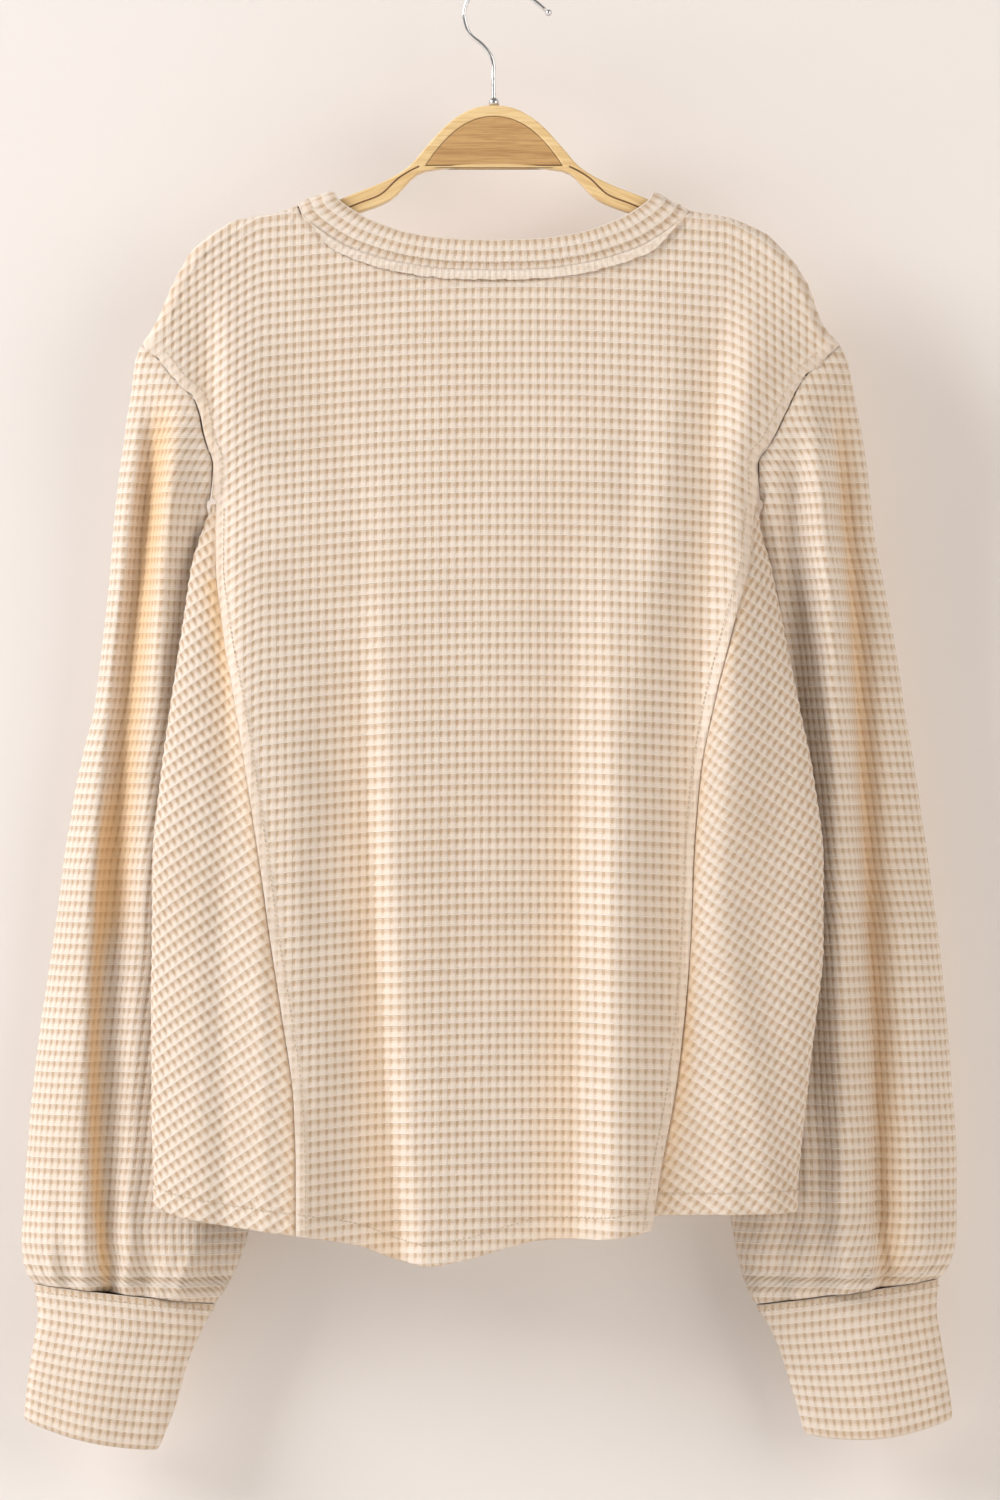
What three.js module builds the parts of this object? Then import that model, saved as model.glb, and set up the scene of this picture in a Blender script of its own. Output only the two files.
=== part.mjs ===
// Henley shirt in waffle knit, hanging on a laminated wooden hanger. Millimetres, +Z up.
// The back of the shirt faces -Y and its right-hand side as seen from there is +X.
// The origin is the inside top of the hook's crook, where a rail or wall hook carries it.

import * as THREE from 'three';

// Cloth
const CLOTH_WALL = 2.0;
const DOUBLED_WALL = 3.0;
const SEAM_GAP = 0.3;
const HALF_GAP = SEAM_GAP / 2;
const SLOPE_STEP = 0.05;

// Body: how full it hangs
const RING_POWER = 2.4;
const RIDGE_ROUND = 8;
const RIDGE_POWER = 3;
const TIP_Z = -230;
const UNDERARM_Z = -327.5;
const SIDE_TOP_Z = -331;
const FOLD_EDGE_POWER = 6;
// Share of a body fold's length over which it comes up to its full height
const FOLD_START = 0.6;

// Outline of the body seen from the back: the armhole edges down to the underarm, then the sides
const OUTLINE = [
  { z: -230, left: -224.6, right: 220.7 },
  { z: -239, left: -214.5, right: 211 },
  { z: -252, left: -204, right: 197 },
  { z: -267, left: -190, right: 189 },
  { z: -291, left: -184, right: 177 },
  { z: -305, left: -179, right: 168 },
  { z: -328, left: -180, right: 168.5 },
  { z: -352, left: -187.5, right: 171 },
  { z: -371, left: -193, right: 176.5 },
  { z: -406, left: -198, right: 183.5 },
  { z: -458, left: -206, right: 194 },
  { z: -509, left: -212.7, right: 204 },
  { z: -560, left: -217.7, right: 210 },
  { z: -611, left: -218.2, right: 210 },
  { z: -662, left: -218.5, right: 205 },
  { z: -714, left: -218.3, right: 199 },
  { z: -765, left: -217, right: 194 },
  { z: -800, left: -216.3, right: 192.5 },
];

// Top line of the shoulders, from the neck out to the top of the armhole
const SHOULDER_LINE = [
  { x: -224.6, z: -230 },
  { x: -215, z: -214.5 },
  { x: -205, z: -189 },
  { x: -195, z: -172.5 },
  { x: -177.5, z: -156.5 },
  { x: -162.5, z: -150 },
  { x: -135, z: -144 },
  { x: -124, z: -139.5 },
  { x: -104, z: -132 },
  { x: 0, z: -110 },
  { x: 102, z: -132 },
  { x: 113, z: -138.5 },
  { x: 124, z: -143.5 },
  { x: 149, z: -148 },
  { x: 173.5, z: -159 },
  { x: 189.5, z: -174 },
  { x: 201, z: -192 },
  { x: 211, z: -218 },
  { x: 220.7, z: -230 },
];

// Half depth of the body at its middle, the same at the armhole edges, and how far
// the sides swing towards the viewer's side, in front of the sleeves
const DEPTHS = [
  { z: -130, middle: 11, edge: 8, swing: 0 },
  { z: -184, middle: 12, edge: 8, swing: 0 },
  { z: -230, middle: 14, edge: 9, swing: 0 },
  { z: -262, middle: 16, edge: 15, swing: 0 },
  { z: -290, middle: 17, edge: 13, swing: 0 },
  { z: -312, middle: 18, edge: 7, swing: 0 },
  { z: -331, middle: 18.5, edge: 0, swing: 0 },
  { z: -371, middle: 20, edge: 0, swing: 4 },
  { z: -406, middle: 22, edge: 0, swing: 8 },
  { z: -458, middle: 24, edge: 0, swing: 12 },
  { z: -560, middle: 27, edge: 0, swing: 13 },
  { z: -820, middle: 31, edge: 0, swing: 13 },
];

// Seams between the middle panels and the side panels, on the back and on the front
const SIDE_SEAMS = [
  { z: -331, left: -178, right: 167 },
  { z: -371, left: -178, right: 162.5 },
  { z: -406, left: -174, right: 154 },
  { z: -458, left: -165, right: 141 },
  { z: -509, left: -157, right: 131.5 },
  { z: -560, left: -149.5, right: 127.5 },
  { z: -611, left: -142.5, right: 125.5 },
  { z: -662, left: -134.5, right: 121.5 },
  { z: -714, left: -127.5, right: 114.5 },
  { z: -760, left: -126, right: 105.5 },
  { z: -800, left: -126, right: 99.5 },
];

// Heights of the cross sections: along the armhole, then from the underarm to above the hem
const ARMHOLE_ROWS = [-230, -231.2, -234, -239, -246, -256, -268, -282, -297, -310, -319, -325, -327.5];
const SIDE_ROWS = [-331, -355, -388, -425, -464, -504, -545, -587, -630, -673, -716, -760];

// Hems
const BACK_HEM = [
  { x: -126, z: -798.5 },
  { x: -105, z: -802 },
  { x: -84.5, z: -806 },
  { x: -62, z: -814.5 },
  { x: -41.5, z: -818 },
  { x: -17, z: -814 },
  { x: 11.5, z: -806 },
  { x: 36, z: -801.3 },
  { x: 64, z: -801.3 },
  { x: 87, z: -798.7 },
  { x: 99.5, z: -795.5 },
];
const FRONT_HEM = [
  { x: -126, z: -798.5 },
  { x: -60, z: -806 },
  { x: -10, z: -809 },
  { x: 50, z: -804 },
  { x: 99.5, z: -790 },
];
// Hem of a side panel: from the back seam, round the side, to the front seam
const SIDE_HEMS = [
  { around: 0, left: -798.5, right: -786 },
  { around: 0.25, left: -789, right: -785.5 },
  { around: 0.5, left: -781, right: -784.5 },
  { around: 0.75, left: -789, right: -785.5 },
  { around: 1, left: -798.5, right: -790 },
];

// Neck: seam of the neck band and its free edge, from the shoulder to the middle
const BACK_NECK = [
  { seamX: 126, seamZ: -143, edgeX: 103, edgeZ: -132.5 },
  { seamX: 122, seamZ: -148.5, edgeX: 100, edgeZ: -136.5 },
  { seamX: 112, seamZ: -157.5, edgeX: 93, edgeZ: -142 },
  { seamX: 91, seamZ: -169.5, edgeX: 78, edgeZ: -150.5 },
  { seamX: 57, seamZ: -179.3, edgeX: 52, edgeZ: -159 },
  { seamX: 28, seamZ: -183, edgeX: 26, edgeZ: -162.3 },
  { seamX: 0, seamZ: -183.7, edgeX: 0, edgeZ: -163.2 },
];
const FRONT_NECK = [
  { seamX: 126, seamZ: -143, edgeX: 103, edgeZ: -132.5 },
  { seamX: 123.5, seamZ: -147.5, edgeX: 101.5, edgeZ: -136.5 },
  { seamX: 118, seamZ: -160, edgeX: 97, edgeZ: -147 },
  { seamX: 106, seamZ: -189, edgeX: 87, edgeZ: -173 },
  { seamX: 88, seamZ: -214, edgeX: 72, edgeZ: -195.5 },
  { seamX: 66, seamZ: -230, edgeX: 54, edgeZ: -210 },
  { seamX: 30, seamZ: -239.5, edgeX: 25, edgeZ: -218.7 },
  { seamX: 0, seamZ: -241, edgeX: 0, edgeZ: -220 },
];
const BAND_WIDTH = 21;
const BAND_GAP = 0.5;
const BAND_SHOULDER_GAP = 1.5;
const BAND_TURN_X = 90;
const BAND_ROWS = 2;
const RAW_STRIP_WIDTH = 5;
const RAW_STRIP_WALL = 1.2;
const RAW_STRIP_END_X = 119;
const RAW_STRIP_STEPS = 14;

// Folds of the body: path of each crest (rise > 0) or trough (rise < 0) and its half width
const BACK_FOLDS = [
  { topX: -96, topZ: -540, lowX: -118, lowZ: -800, width: 14, rise: 4 },
  { topX: -90, topZ: -430, lowX: -74, lowZ: -810, width: 18, rise: -6 },
  { topX: -56, topZ: -400, lowX: -32, lowZ: -815, width: 24, rise: 7 },
  { topX: 26, topZ: -430, lowX: 50, lowZ: -800, width: 24, rise: -6 },
  { topX: 76, topZ: -330, lowX: 92, lowZ: -800, width: 17, rise: 8 },
  { topX: -172, topZ: -185, lowX: -168, lowZ: -430, width: 14, rise: 4 },
  { topX: 146, topZ: -185, lowX: 138, lowZ: -420, width: 18, rise: 4 },
  { topX: 128, topZ: -520, lowX: 160, lowZ: -790, width: 13, rise: 6 },
  { topX: -196, topZ: -500, lowX: -188, lowZ: -790, width: 12, rise: 4 },
  { topX: -160, topZ: -560, lowX: -152, lowZ: -790, width: 12, rise: -3 },
];
const FRONT_FOLDS = [
  { topX: -104, topZ: -470, lowX: -112, lowZ: -800, width: 17, rise: 6 },
  { topX: -66, topZ: -500, lowX: -58, lowZ: -805, width: 18, rise: -5 },
  { topX: -30, topZ: -430, lowX: -8, lowZ: -810, width: 22, rise: 6 },
  { topX: 34, topZ: -470, lowX: 44, lowZ: -800, width: 20, rise: -5 },
  { topX: 84, topZ: -420, lowX: 80, lowZ: -795, width: 18, rise: 7 },
  { topX: -168, topZ: -190, lowX: -160, lowZ: -430, width: 16, rise: 4 },
  { topX: 150, topZ: -190, lowX: 140, lowZ: -430, width: 16, rise: 4 },
];

// Sleeves: a row for each section, with the outer and the inner edge, how far the section's
// middle lies behind the body, its half depth, and how closely it keeps the armhole's shape
const LEFT_SLEEVE = [
  { outX: -225, outZ: -230, inX: -180, inZ: -327.5, behind: 0, depth: 13, keep: 1 },
  { outX: -228.5, outZ: -238, inX: -186, inZ: -331, behind: 1, depth: 15, keep: 0.85 },
  { outX: -231, outZ: -252, inX: -187.5, inZ: -337, behind: 4, depth: 17, keep: 0.6 },
  { outX: -234, outZ: -270, inX: -187, inZ: -345, behind: 8, depth: 18, keep: 0.35 },
  { outX: -237.5, outZ: -292, inX: -186.5, inZ: -355, behind: 13, depth: 19, keep: 0.15 },
  { outX: -241.5, outZ: -318, inX: -186.5, inZ: -368, behind: 18, depth: 19.5, keep: 0 },
  { outX: -245, outZ: -350, inX: -186, inZ: -386, behind: 22, depth: 20, keep: 0 },
  { outX: -248, outZ: -385, inX: -183, inZ: -408, behind: 25, depth: 20.5, keep: 0 },
  { outX: -252, outZ: -420, inX: -180, inZ: -432, behind: 27, depth: 21, keep: 0 },
  { outX: -257, outZ: -458, inX: -175, inZ: -464, behind: 30, depth: 22, keep: 0 },
  { outX: -268.7, outZ: -509, inX: -169, inZ: -511, behind: 32, depth: 22.5, keep: 0 },
  { outX: -277.3, outZ: -560, inX: -164, inZ: -560, behind: 33, depth: 23, keep: 0 },
  { outX: -284.2, outZ: -611, inX: -161.5, inZ: -611, behind: 37, depth: 24, keep: 0 },
  { outX: -292.2, outZ: -662, inX: -159.5, inZ: -662, behind: 39, depth: 25, keep: 0 },
  { outX: -298.6, outZ: -714, inX: -157.4, inZ: -714, behind: 39, depth: 26, keep: 0 },
  { outX: -301.8, outZ: -752, inX: -156.3, inZ: -752, behind: 38, depth: 27, keep: 0 },
  { outX: -303.8, outZ: -785, inX: -157, inZ: -787, behind: 36, depth: 27, keep: 0 },
  { outX: -304.8, outZ: -806, inX: -162, inZ: -811, behind: 32, depth: 25, keep: 0 },
  { outX: -303.5, outZ: -820, inX: -169.5, inZ: -829, behind: 31, depth: 21, keep: 0 },
  { outX: -299.5, outZ: -830, inX: -176, inZ: -841, behind: 30, depth: 17, keep: 0 },
  { outX: -296.5, outZ: -834, inX: -180.5, inZ: -846.5, behind: 30, depth: 15, keep: 0 },
];
const RIGHT_SLEEVE = [
  { outX: 221, outZ: -230, inX: 168.5, inZ: -327.5, behind: 0, depth: 13, keep: 1 },
  { outX: 225, outZ: -238, inX: 174, inZ: -331, behind: 1, depth: 15, keep: 0.85 },
  { outX: 229, outZ: -252, inX: 175, inZ: -337, behind: 4, depth: 17, keep: 0.6 },
  { outX: 232.5, outZ: -270, inX: 173, inZ: -345, behind: 8, depth: 18, keep: 0.35 },
  { outX: 237, outZ: -292, inX: 171.5, inZ: -355, behind: 13, depth: 19, keep: 0.15 },
  { outX: 241, outZ: -318, inX: 171.5, inZ: -368, behind: 18, depth: 19.5, keep: 0 },
  { outX: 244.5, outZ: -350, inX: 171.5, inZ: -386, behind: 22, depth: 20, keep: 0 },
  { outX: 251.5, outZ: -385, inX: 169, inZ: -408, behind: 25, depth: 20.5, keep: 0 },
  { outX: 258, outZ: -420, inX: 167.5, inZ: -432, behind: 27, depth: 21, keep: 0 },
  { outX: 264, outZ: -458, inX: 164, inZ: -464, behind: 30, depth: 22, keep: 0 },
  { outX: 272.5, outZ: -509, inX: 160, inZ: -511, behind: 32, depth: 22.5, keep: 0 },
  { outX: 280, outZ: -560, inX: 157, inZ: -560, behind: 33, depth: 23, keep: 0 },
  { outX: 287.1, outZ: -611, inX: 155.3, inZ: -611, behind: 37, depth: 24, keep: 0 },
  { outX: 292.5, outZ: -662, inX: 153.7, inZ: -662, behind: 39, depth: 25, keep: 0 },
  { outX: 296.5, outZ: -714, inX: 152.1, inZ: -714, behind: 39, depth: 26, keep: 0 },
  { outX: 298.9, outZ: -752, inX: 151.3, inZ: -752, behind: 38, depth: 27, keep: 0 },
  { outX: 298.9, outZ: -785, inX: 153, inZ: -788, behind: 36, depth: 27, keep: 0 },
  { outX: 298, outZ: -806, inX: 157, inZ: -812, behind: 32, depth: 25, keep: 0 },
  { outX: 295, outZ: -819, inX: 161.5, inZ: -830, behind: 31, depth: 21, keep: 0 },
  { outX: 290.5, outZ: -827, inX: 166, inZ: -842, behind: 30, depth: 17, keep: 0 },
  { outX: 286.7, outZ: -830.5, inX: 169.6, inZ: -847, behind: 30, depth: 15, keep: 0 },
];
const SLEEVE_POINT_STEP = 8;
const SLEEVE_SEAM_SHIFT = 0.8;
// How much further off the sleeve's seam lies towards the underarm, and which way off is
const UNDERARM_SHIFT = 1.8;
const UNDERARM_POWER = 3;
const SLEEVE_AWAY_X = 0.9;
const SLEEVE_AWAY_Z = -0.42;

// Folds of the sleeves, on the side that faces the viewer: a path through three heights
const LEFT_SLEEVE_FOLDS = [
  { topX: -214, topZ: -245, midX: -241, midZ: -509, lowX: -249, lowZ: -840, width: 9, rise: -11 },
  { topX: -200, topZ: -262, midX: -211, midZ: -362, lowX: -214, lowZ: -470, width: 8, rise: 6 },
  { topX: -262, topZ: -520, midX: -281, midZ: -660, lowX: -286, lowZ: -810, width: 16, rise: 5 },
  { topX: -205, topZ: -790, midX: -202, midZ: -820, lowX: -200, lowZ: -846, width: 20, rise: 6 },
];
const RIGHT_SLEEVE_FOLDS = [
  { topX: 203, topZ: -262, midX: 216, midZ: -430, lowX: 225, lowZ: -846, width: 9, rise: 9 },
  { topX: 214, topZ: -250, midX: 235, midZ: -430, lowX: 248, lowZ: -800, width: 9, rise: -9 },
  { topX: 268, topZ: -560, midX: 275, midZ: -700, lowX: 272, lowZ: -830, width: 15, rise: 6 },
  { topX: 190, topZ: -270, midX: 195, midZ: -380, lowX: 196, lowZ: -470, width: 7, rise: -5 },
];
// The same on the far side
const FAR_SLEEVE_FOLDS = [
  { across: 0.25, topZ: -300, lowZ: -846, width: 12, rise: 5 },
  { across: 0.5, topZ: -280, lowZ: -846, width: 11, rise: -6 },
  { across: 0.75, topZ: -330, lowZ: -846, width: 12, rise: 5 },
];
// How far down a sleeve's fold comes up to its height, and where it fades, counted from its low end
const SLEEVE_FOLD_START = 50;
const SLEEVE_FOLD_GONE = -40;
const SLEEVE_FOLD_FULL = 20;
const FAR_FOLD_START = 80;
// Gathers where the sleeve is drawn into the cuff, lower at the seam itself
const GATHERS = 9;
const GATHER_RISE = 2.2;
const GATHER_REACH = 34;
const GATHER_AT_SEAM = 0.4;

// Cuffs: a row for each section, with both edges and the dip of its middle
const LEFT_CUFF = [
  { outX: -296, outZ: -834.8, inX: -181, inZ: -847.3, behind: 30, depth: 14, dip: 0 },
  { outX: -293.8, outZ: -854, inX: -190.7, inZ: -866, behind: 29, depth: 14, dip: 1 },
  { outX: -297, outZ: -875, inX: -199, inZ: -886, behind: 28, depth: 13.5, dip: 2 },
  { outX: -300.5, outZ: -899, inX: -207, inZ: -914, behind: 27, depth: 13, dip: 3 },
  { outX: -302.7, outZ: -922, inX: -217.6, inZ: -941, behind: 26, depth: 12.5, dip: 4 },
];
const RIGHT_CUFF = [
  { outX: 286.3, outZ: -831.5, inX: 170.3, inZ: -848, behind: 30, depth: 14, dip: 0 },
  { outX: 285.4, outZ: -850, inX: 180, inZ: -864, behind: 29, depth: 14, dip: 1 },
  { outX: 288.6, outZ: -874, inX: 188, inZ: -885, behind: 28, depth: 13.5, dip: 3 },
  { outX: 292.5, outZ: -899, inX: 195, inZ: -908, behind: 27, depth: 13, dip: 5 },
  { outX: 295.7, outZ: -921, inX: 201.5, inZ: -931, behind: 26, depth: 12.5, dip: 7 },
];
const CUFF_HALF_POINTS = 12;

// Placket on the front: a slit, a strip over it and a strip under it, and its buttons
const SLIT_FOOT_Z = -375;
const PLACKET_HALF = 14;
const PLACKET_FOOT_Z = -388;
const PLACKET_STEPS = 9;
const PLACKET_COLUMNS = [-1, -0.34, 0.34, 1];
const BUTTON_RADIUS = 6;
const BUTTON_THICKNESS = 2.4;
const BUTTON_RIM = 0.8;
const BUTTON_SIDES = 16;
const BUTTON_WELL_SHARE = 0.72;
const BUTTON_HEIGHTS = [-234, -282, -330];

// Columns of the middle panels, as distances from the middle at the neck and along the shoulder
const NECK_COLUMNS = [22, 44, 66, 88, 106, 118, 123.5, 126];
const SHOULDER_COLUMNS = [142, 163, 179, 192, 205];
const SLIT_HALF = 4;
const SIDE_COLUMNS = 8;
const SIDE_TOP_GAP = 1.2;
// How quickly the pull of a curved side edge fades towards the middle
const SIDE_PULL = 7;

// Hanger
const HANGER_THICKNESS = 12;
const HANGER_BEVEL = 1.2;
const HANGER_DEPTH = 12.4;
const HANGER_DROP = 2.9;
const HANGER_TIP_X = 184.5;
const ARM_START_X = 60;
const HANGER_CROWN = [
  { x: 0, top: -76.5 },
  { x: 12, top: -78 },
  { x: 24, top: -84 },
  { x: 33, top: -91.5 },
  { x: 44.5, top: -104.3 },
  { x: 55, top: -116 },
  { x: 71, top: -125.5 },
  { x: 97, top: -136 },
  { x: 112, top: -143 },
  { x: 126, top: -147.8 },
];
const HANGER_ARM_POINTS = [142, 163, 173, 180];
const RAIL_LOW = -118.5;
const PLATE_LOW = -115.2;
const PLATE_HALF = 44;
const PLATE_TOP = -83.5;
const PLATE_THICKNESS = 11.2;
const PLATE_POWER = 2.15;
const PLATE_STEPS = 20;
// How much shorter the plate is than its hole at each end, as a multiple of the gap above it
const PLATE_END_GAPS = 2;

// Hook
const WIRE_RADIUS = 1.3;
const CROOK_RADIUS = 19.2;
const CROOK_CENTRE_Z = -CROOK_RADIUS + WIRE_RADIUS;
// Path of the wire: up the stem to the crook, round it, and out to its tip
const HOOK_STEM = [
  { x: -0.4, z: -60 },
  { x: -1, z: -46.5 },
  { x: -7, z: -37.5 },
  { x: -15.5, z: -30 },
];
const CROOK_FROM = -90;
const CROOK_TO = 20;
const CROOK_TURN = 22;
const HOOK_END = [
  { x: 18.5, z: -4.2 },
  { x: 27, z: -9.7 },
  { x: 33, z: -14.8 },
];
const HOOK_STEPS = 38;
const HOOK_SIDES = 8;
const FERRULE_RADIUS = 3.4;
const FERRULE_HEIGHT = 5;
const FERRULE_SHOULDER_HEIGHT = 3;
const FERRULE_LIP = 0.6;
const FERRULE_SIDES = 16;
const HOOK_TIP_RADIUS = 2.3;
const HOOK_TIP_SIDES = 14;
const HOOK_TIP_RINGS = 8;

const clothMaterial = new THREE.MeshStandardMaterial({ color: 0xeadcc4, roughness: 0.92, metalness: 0 });
const buttonMaterial = new THREE.MeshStandardMaterial({ color: 0xe6d9bf, roughness: 0.35, metalness: 0 });
const woodMaterial = new THREE.MeshStandardMaterial({ color: 0xe3c48d, roughness: 0.45, metalness: 0 });
const plateMaterial = new THREE.MeshStandardMaterial({ color: 0xb98f5f, roughness: 0.5, metalness: 0 });
const wireMaterial = new THREE.MeshStandardMaterial({ color: 0xb9bcc0, roughness: 0.2, metalness: 1 });

// Smooth curve through the rows of a table, without overshoot
function tableCurve(rows, key, value) {
  const order = rows[0][key] < rows[rows.length - 1][key] ? rows : [...rows].reverse();
  const at = order.map((row) => row[key]);
  const to = order.map((row) => row[value]);
  const last = at.length - 1;
  const rise = to.slice(1).map((high, i) => (high - to[i]) / (at[i + 1] - at[i]));
  const slope = at.map((_, i) => {
    if (i === 0) return rise[0];
    if (i === last) return rise[last - 1];
    const before = rise[i - 1];
    const after = rise[i];
    return before * after <= 0 ? 0 : (2 * before * after) / (before + after);
  });
  return (t) => {
    if (t <= at[0]) return to[0];
    if (t >= at[last]) return to[last];
    let i = 0;
    while (at[i + 1] < t) i += 1;
    const span = at[i + 1] - at[i];
    const f = (t - at[i]) / span;
    const g = 1 - f;
    const ends = to[i] * g * g * (1 + 2 * f) + to[i + 1] * f * f * (1 + 2 * g);
    return ends + span * f * g * (slope[i] * g - slope[i + 1] * f);
  };
}

const lerp = (a, b, t) => a + (b - a) * t;
const clamp = (t, low, high) => Math.min(Math.max(t, low), high);

function smoothstep(low, high, t) {
  const f = clamp((t - low) / (high - low), 0, 1);
  return f * f * (3 - 2 * f);
}

const outline = { left: tableCurve(OUTLINE, 'z', 'left'), right: tableCurve(OUTLINE, 'z', 'right') };
const seam = { left: tableCurve(SIDE_SEAMS, 'z', 'left'), right: tableCurve(SIDE_SEAMS, 'z', 'right') };
const shoulderZ = tableCurve(SHOULDER_LINE, 'x', 'z');
const middleDepth = tableCurve(DEPTHS, 'z', 'middle');
const edgeDepth = tableCurve(DEPTHS, 'z', 'edge');
const swing = tableCurve(DEPTHS, 'z', 'swing');
const backHemZ = tableCurve(BACK_HEM, 'x', 'z');
const frontHemZ = tableCurve(FRONT_HEM, 'x', 'z');

const placketMiddle = () => (outline.left(TIP_Z) + outline.right(TIP_Z)) / 2;
const shoulderSlope = (x) => (shoulderZ(x + 1) - shoulderZ(x - 1)) / 2;

// Height of a set of folds at a place on the body
function foldHeight(folds, x, z) {
  let height = 0;
  for (const fold of folds) {
    const down = (fold.topZ - z) / (fold.topZ - fold.lowZ);
    const across = (x - lerp(fold.topX, fold.lowX, down)) / fold.width;
    height += fold.rise * smoothstep(0, FOLD_START, down) * Math.exp(-across * across);
  }
  return height;
}

// Where the body's surface lies in depth: face is -1 on the back and 1 on the front
function bodyDepth(x, z, face) {
  const left = outline.left(z);
  const right = outline.right(z);
  const off = Math.min(Math.abs((2 * x - left - right) / (right - left)), 1);
  const round = (1 - off ** RING_POWER) ** (1 / RING_POWER);
  const edge = edgeDepth(z);
  const half = edge + (middleDepth(z) - edge) * round;
  const below = clamp((shoulderZ(x) - z) / Math.hypot(1, shoulderSlope(x)) / RIDGE_ROUND, 0, 1);
  const ridge = (1 - (1 - below) ** RIDGE_POWER) ** (1 / RIDGE_POWER);
  const folds = foldHeight(face < 0 ? BACK_FOLDS : FRONT_FOLDS, x, z) * (1 - off ** FOLD_EDGE_POWER);
  return face * Math.max((half + folds) * ridge, HALF_GAP) - swing(z) * off * off;
}

// Point on the body's surface and the way it faces; slopes are taken towards the middle
function bodyPoint(x, z, face) {
  const y = bodyDepth(x, z, face);
  const stepX = x < 0 ? SLOPE_STEP : -SLOPE_STEP;
  const slopeX = (bodyDepth(x + stepX, z, face) - y) / stepX;
  const slopeZ = (bodyDepth(x, z - SLOPE_STEP, face) - y) / -SLOPE_STEP;
  const normal = new THREE.Vector3(-slopeX, 1, -slopeZ).multiplyScalar(face).normalize();
  return { point: new THREE.Vector3(x, y, z), normal };
}

// Closed wall of even thickness on a grid of points; keep says which cells of the grid have cloth
function wall(grid, thickness, { closed = false, keep = () => true } = {}) {
  const rows = grid.length;
  const columns = grid[0].length;
  const positions = [];
  for (const side of [1, -1]) {
    for (const row of grid) {
      for (const { point, normal } of row) {
        positions.push(...point.clone().addScaledVector(normal, (side * thickness) / 2).toArray());
      }
    }
  }
  const inner = rows * columns;
  const cellColumns = closed ? columns : columns - 1;
  const kept = (j, i) => {
    if (j < 0 || j >= rows - 1) return false;
    if (!closed && (i < 0 || i >= cellColumns)) return false;
    return keep(j, (i + cellColumns) % cellColumns);
  };
  const faces = [];
  const quad = (a, b, c, d) => faces.push(a, b, c, a, c, d);
  for (let j = 0; j < rows - 1; j += 1) {
    for (let i = 0; i < cellColumns; i += 1) {
      if (!kept(j, i)) continue;
      const next = (i + 1) % columns;
      const a = j * columns + i;
      const b = j * columns + next;
      const c = (j + 1) * columns + next;
      const d = (j + 1) * columns + i;
      quad(a, d, c, b);
      quad(inner + a, inner + b, inner + c, inner + d);
      if (!kept(j - 1, i)) quad(a, b, inner + b, inner + a);
      if (!kept(j + 1, i)) quad(c, d, inner + d, inner + c);
      if (!kept(j, i - 1)) quad(d, a, inner + a, inner + d);
      if (!kept(j, i + 1)) quad(b, c, inner + c, inner + b);
    }
  }
  return outward(positions, faces);
}

// Geometry from points and faces, turned so that its faces point out
function outward(positions, faces) {
  const at = (k) => new THREE.Vector3().fromArray(positions, 3 * k);
  let volume = 0;
  for (let k = 0; k < faces.length; k += 3) {
    volume += at(faces[k]).dot(at(faces[k + 1]).cross(at(faces[k + 2])));
  }
  const order = volume < 0 ? faces.map((_, k) => faces[k - (k % 3) + [0, 2, 1][k % 3]]) : faces;
  const geometry = new THREE.BufferGeometry();
  geometry.setAttribute('position', new THREE.Float32BufferAttribute(positions, 3));
  geometry.setIndex(order);
  return geometry;
}

// Heights where a panel's edge has its points, with both hem ends
function panelRows(hemZ) {
  const upper = [...ARMHOLE_ROWS, ...SIDE_ROWS];
  const heights = upper.map((z) => ({ left: z, right: z }));
  return [...heights, { left: hemZ(BACK_HEM[0].x), right: hemZ(BACK_HEM[BACK_HEM.length - 1].x) }];
}

function panelEdge(side, z) {
  const inset = side === 'left' ? HALF_GAP : -HALF_GAP;
  return (z > SIDE_TOP_Z ? outline[side](z) : seam[side](z)) + inset;
}

// Top edge of a middle panel: the shoulder line, or the neck seam between the shoulders
function panelTop(neck, x) {
  const seamZ = tableCurve(neck, 'seamX', 'seamZ')(Math.abs(x));
  const inNeck = Math.abs(x) < neck[0].seamX - HALF_GAP;
  return inNeck ? Math.min(shoulderZ(x), seamZ) : shoulderZ(x);
}

// Places on a middle panel, spread between its top edge, its hem and its two sides
function panelPlace(neck, hemZ, rows, u, j) {
  const first = rows[0];
  const last = rows[rows.length - 1];
  const v = (rows[j].left - first.left) / (last.left - first.left);
  const topX = lerp(panelEdge('left', first.left), panelEdge('right', first.right), u);
  const lowX = lerp(panelEdge('left', last.left), panelEdge('right', last.right), u);
  const topZ = panelTop(neck, topX);
  const lowZ = hemZ(lowX);
  const pull = (from, here, to) => here - lerp(from, to, v);
  const sides = [first, rows[j], last];
  const leftX = pull(...sides.map((row) => panelEdge('left', row.left)));
  const rightX = pull(...sides.map((row) => panelEdge('right', row.right)));
  const leftZ = pull(...sides.map((row) => row.left));
  const rightZ = pull(...sides.map((row) => row.right));
  const nearLeft = (1 - u) ** SIDE_PULL;
  const nearRight = u ** SIDE_PULL;
  return {
    x: lerp(topX, lowX, v) + nearLeft * leftX + nearRight * rightX,
    z: lerp(topZ, lowZ, v) + nearLeft * leftZ + nearRight * rightZ,
  };
}

// Shares of the panel's width where its columns start, two of them at the placket's slit
function panelColumns(withSlit) {
  const left = panelEdge('left', TIP_Z);
  const right = panelEdge('right', TIP_Z);
  const outer = [...NECK_COLUMNS, ...SHOULDER_COLUMNS];
  const middle = withSlit ? [-SLIT_HALF, SLIT_HALF] : [0];
  const places = [left, ...outer.map((x) => -x).reverse(), ...middle, ...outer, right];
  return places.map((x) => (x - left) / (right - left));
}

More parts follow.
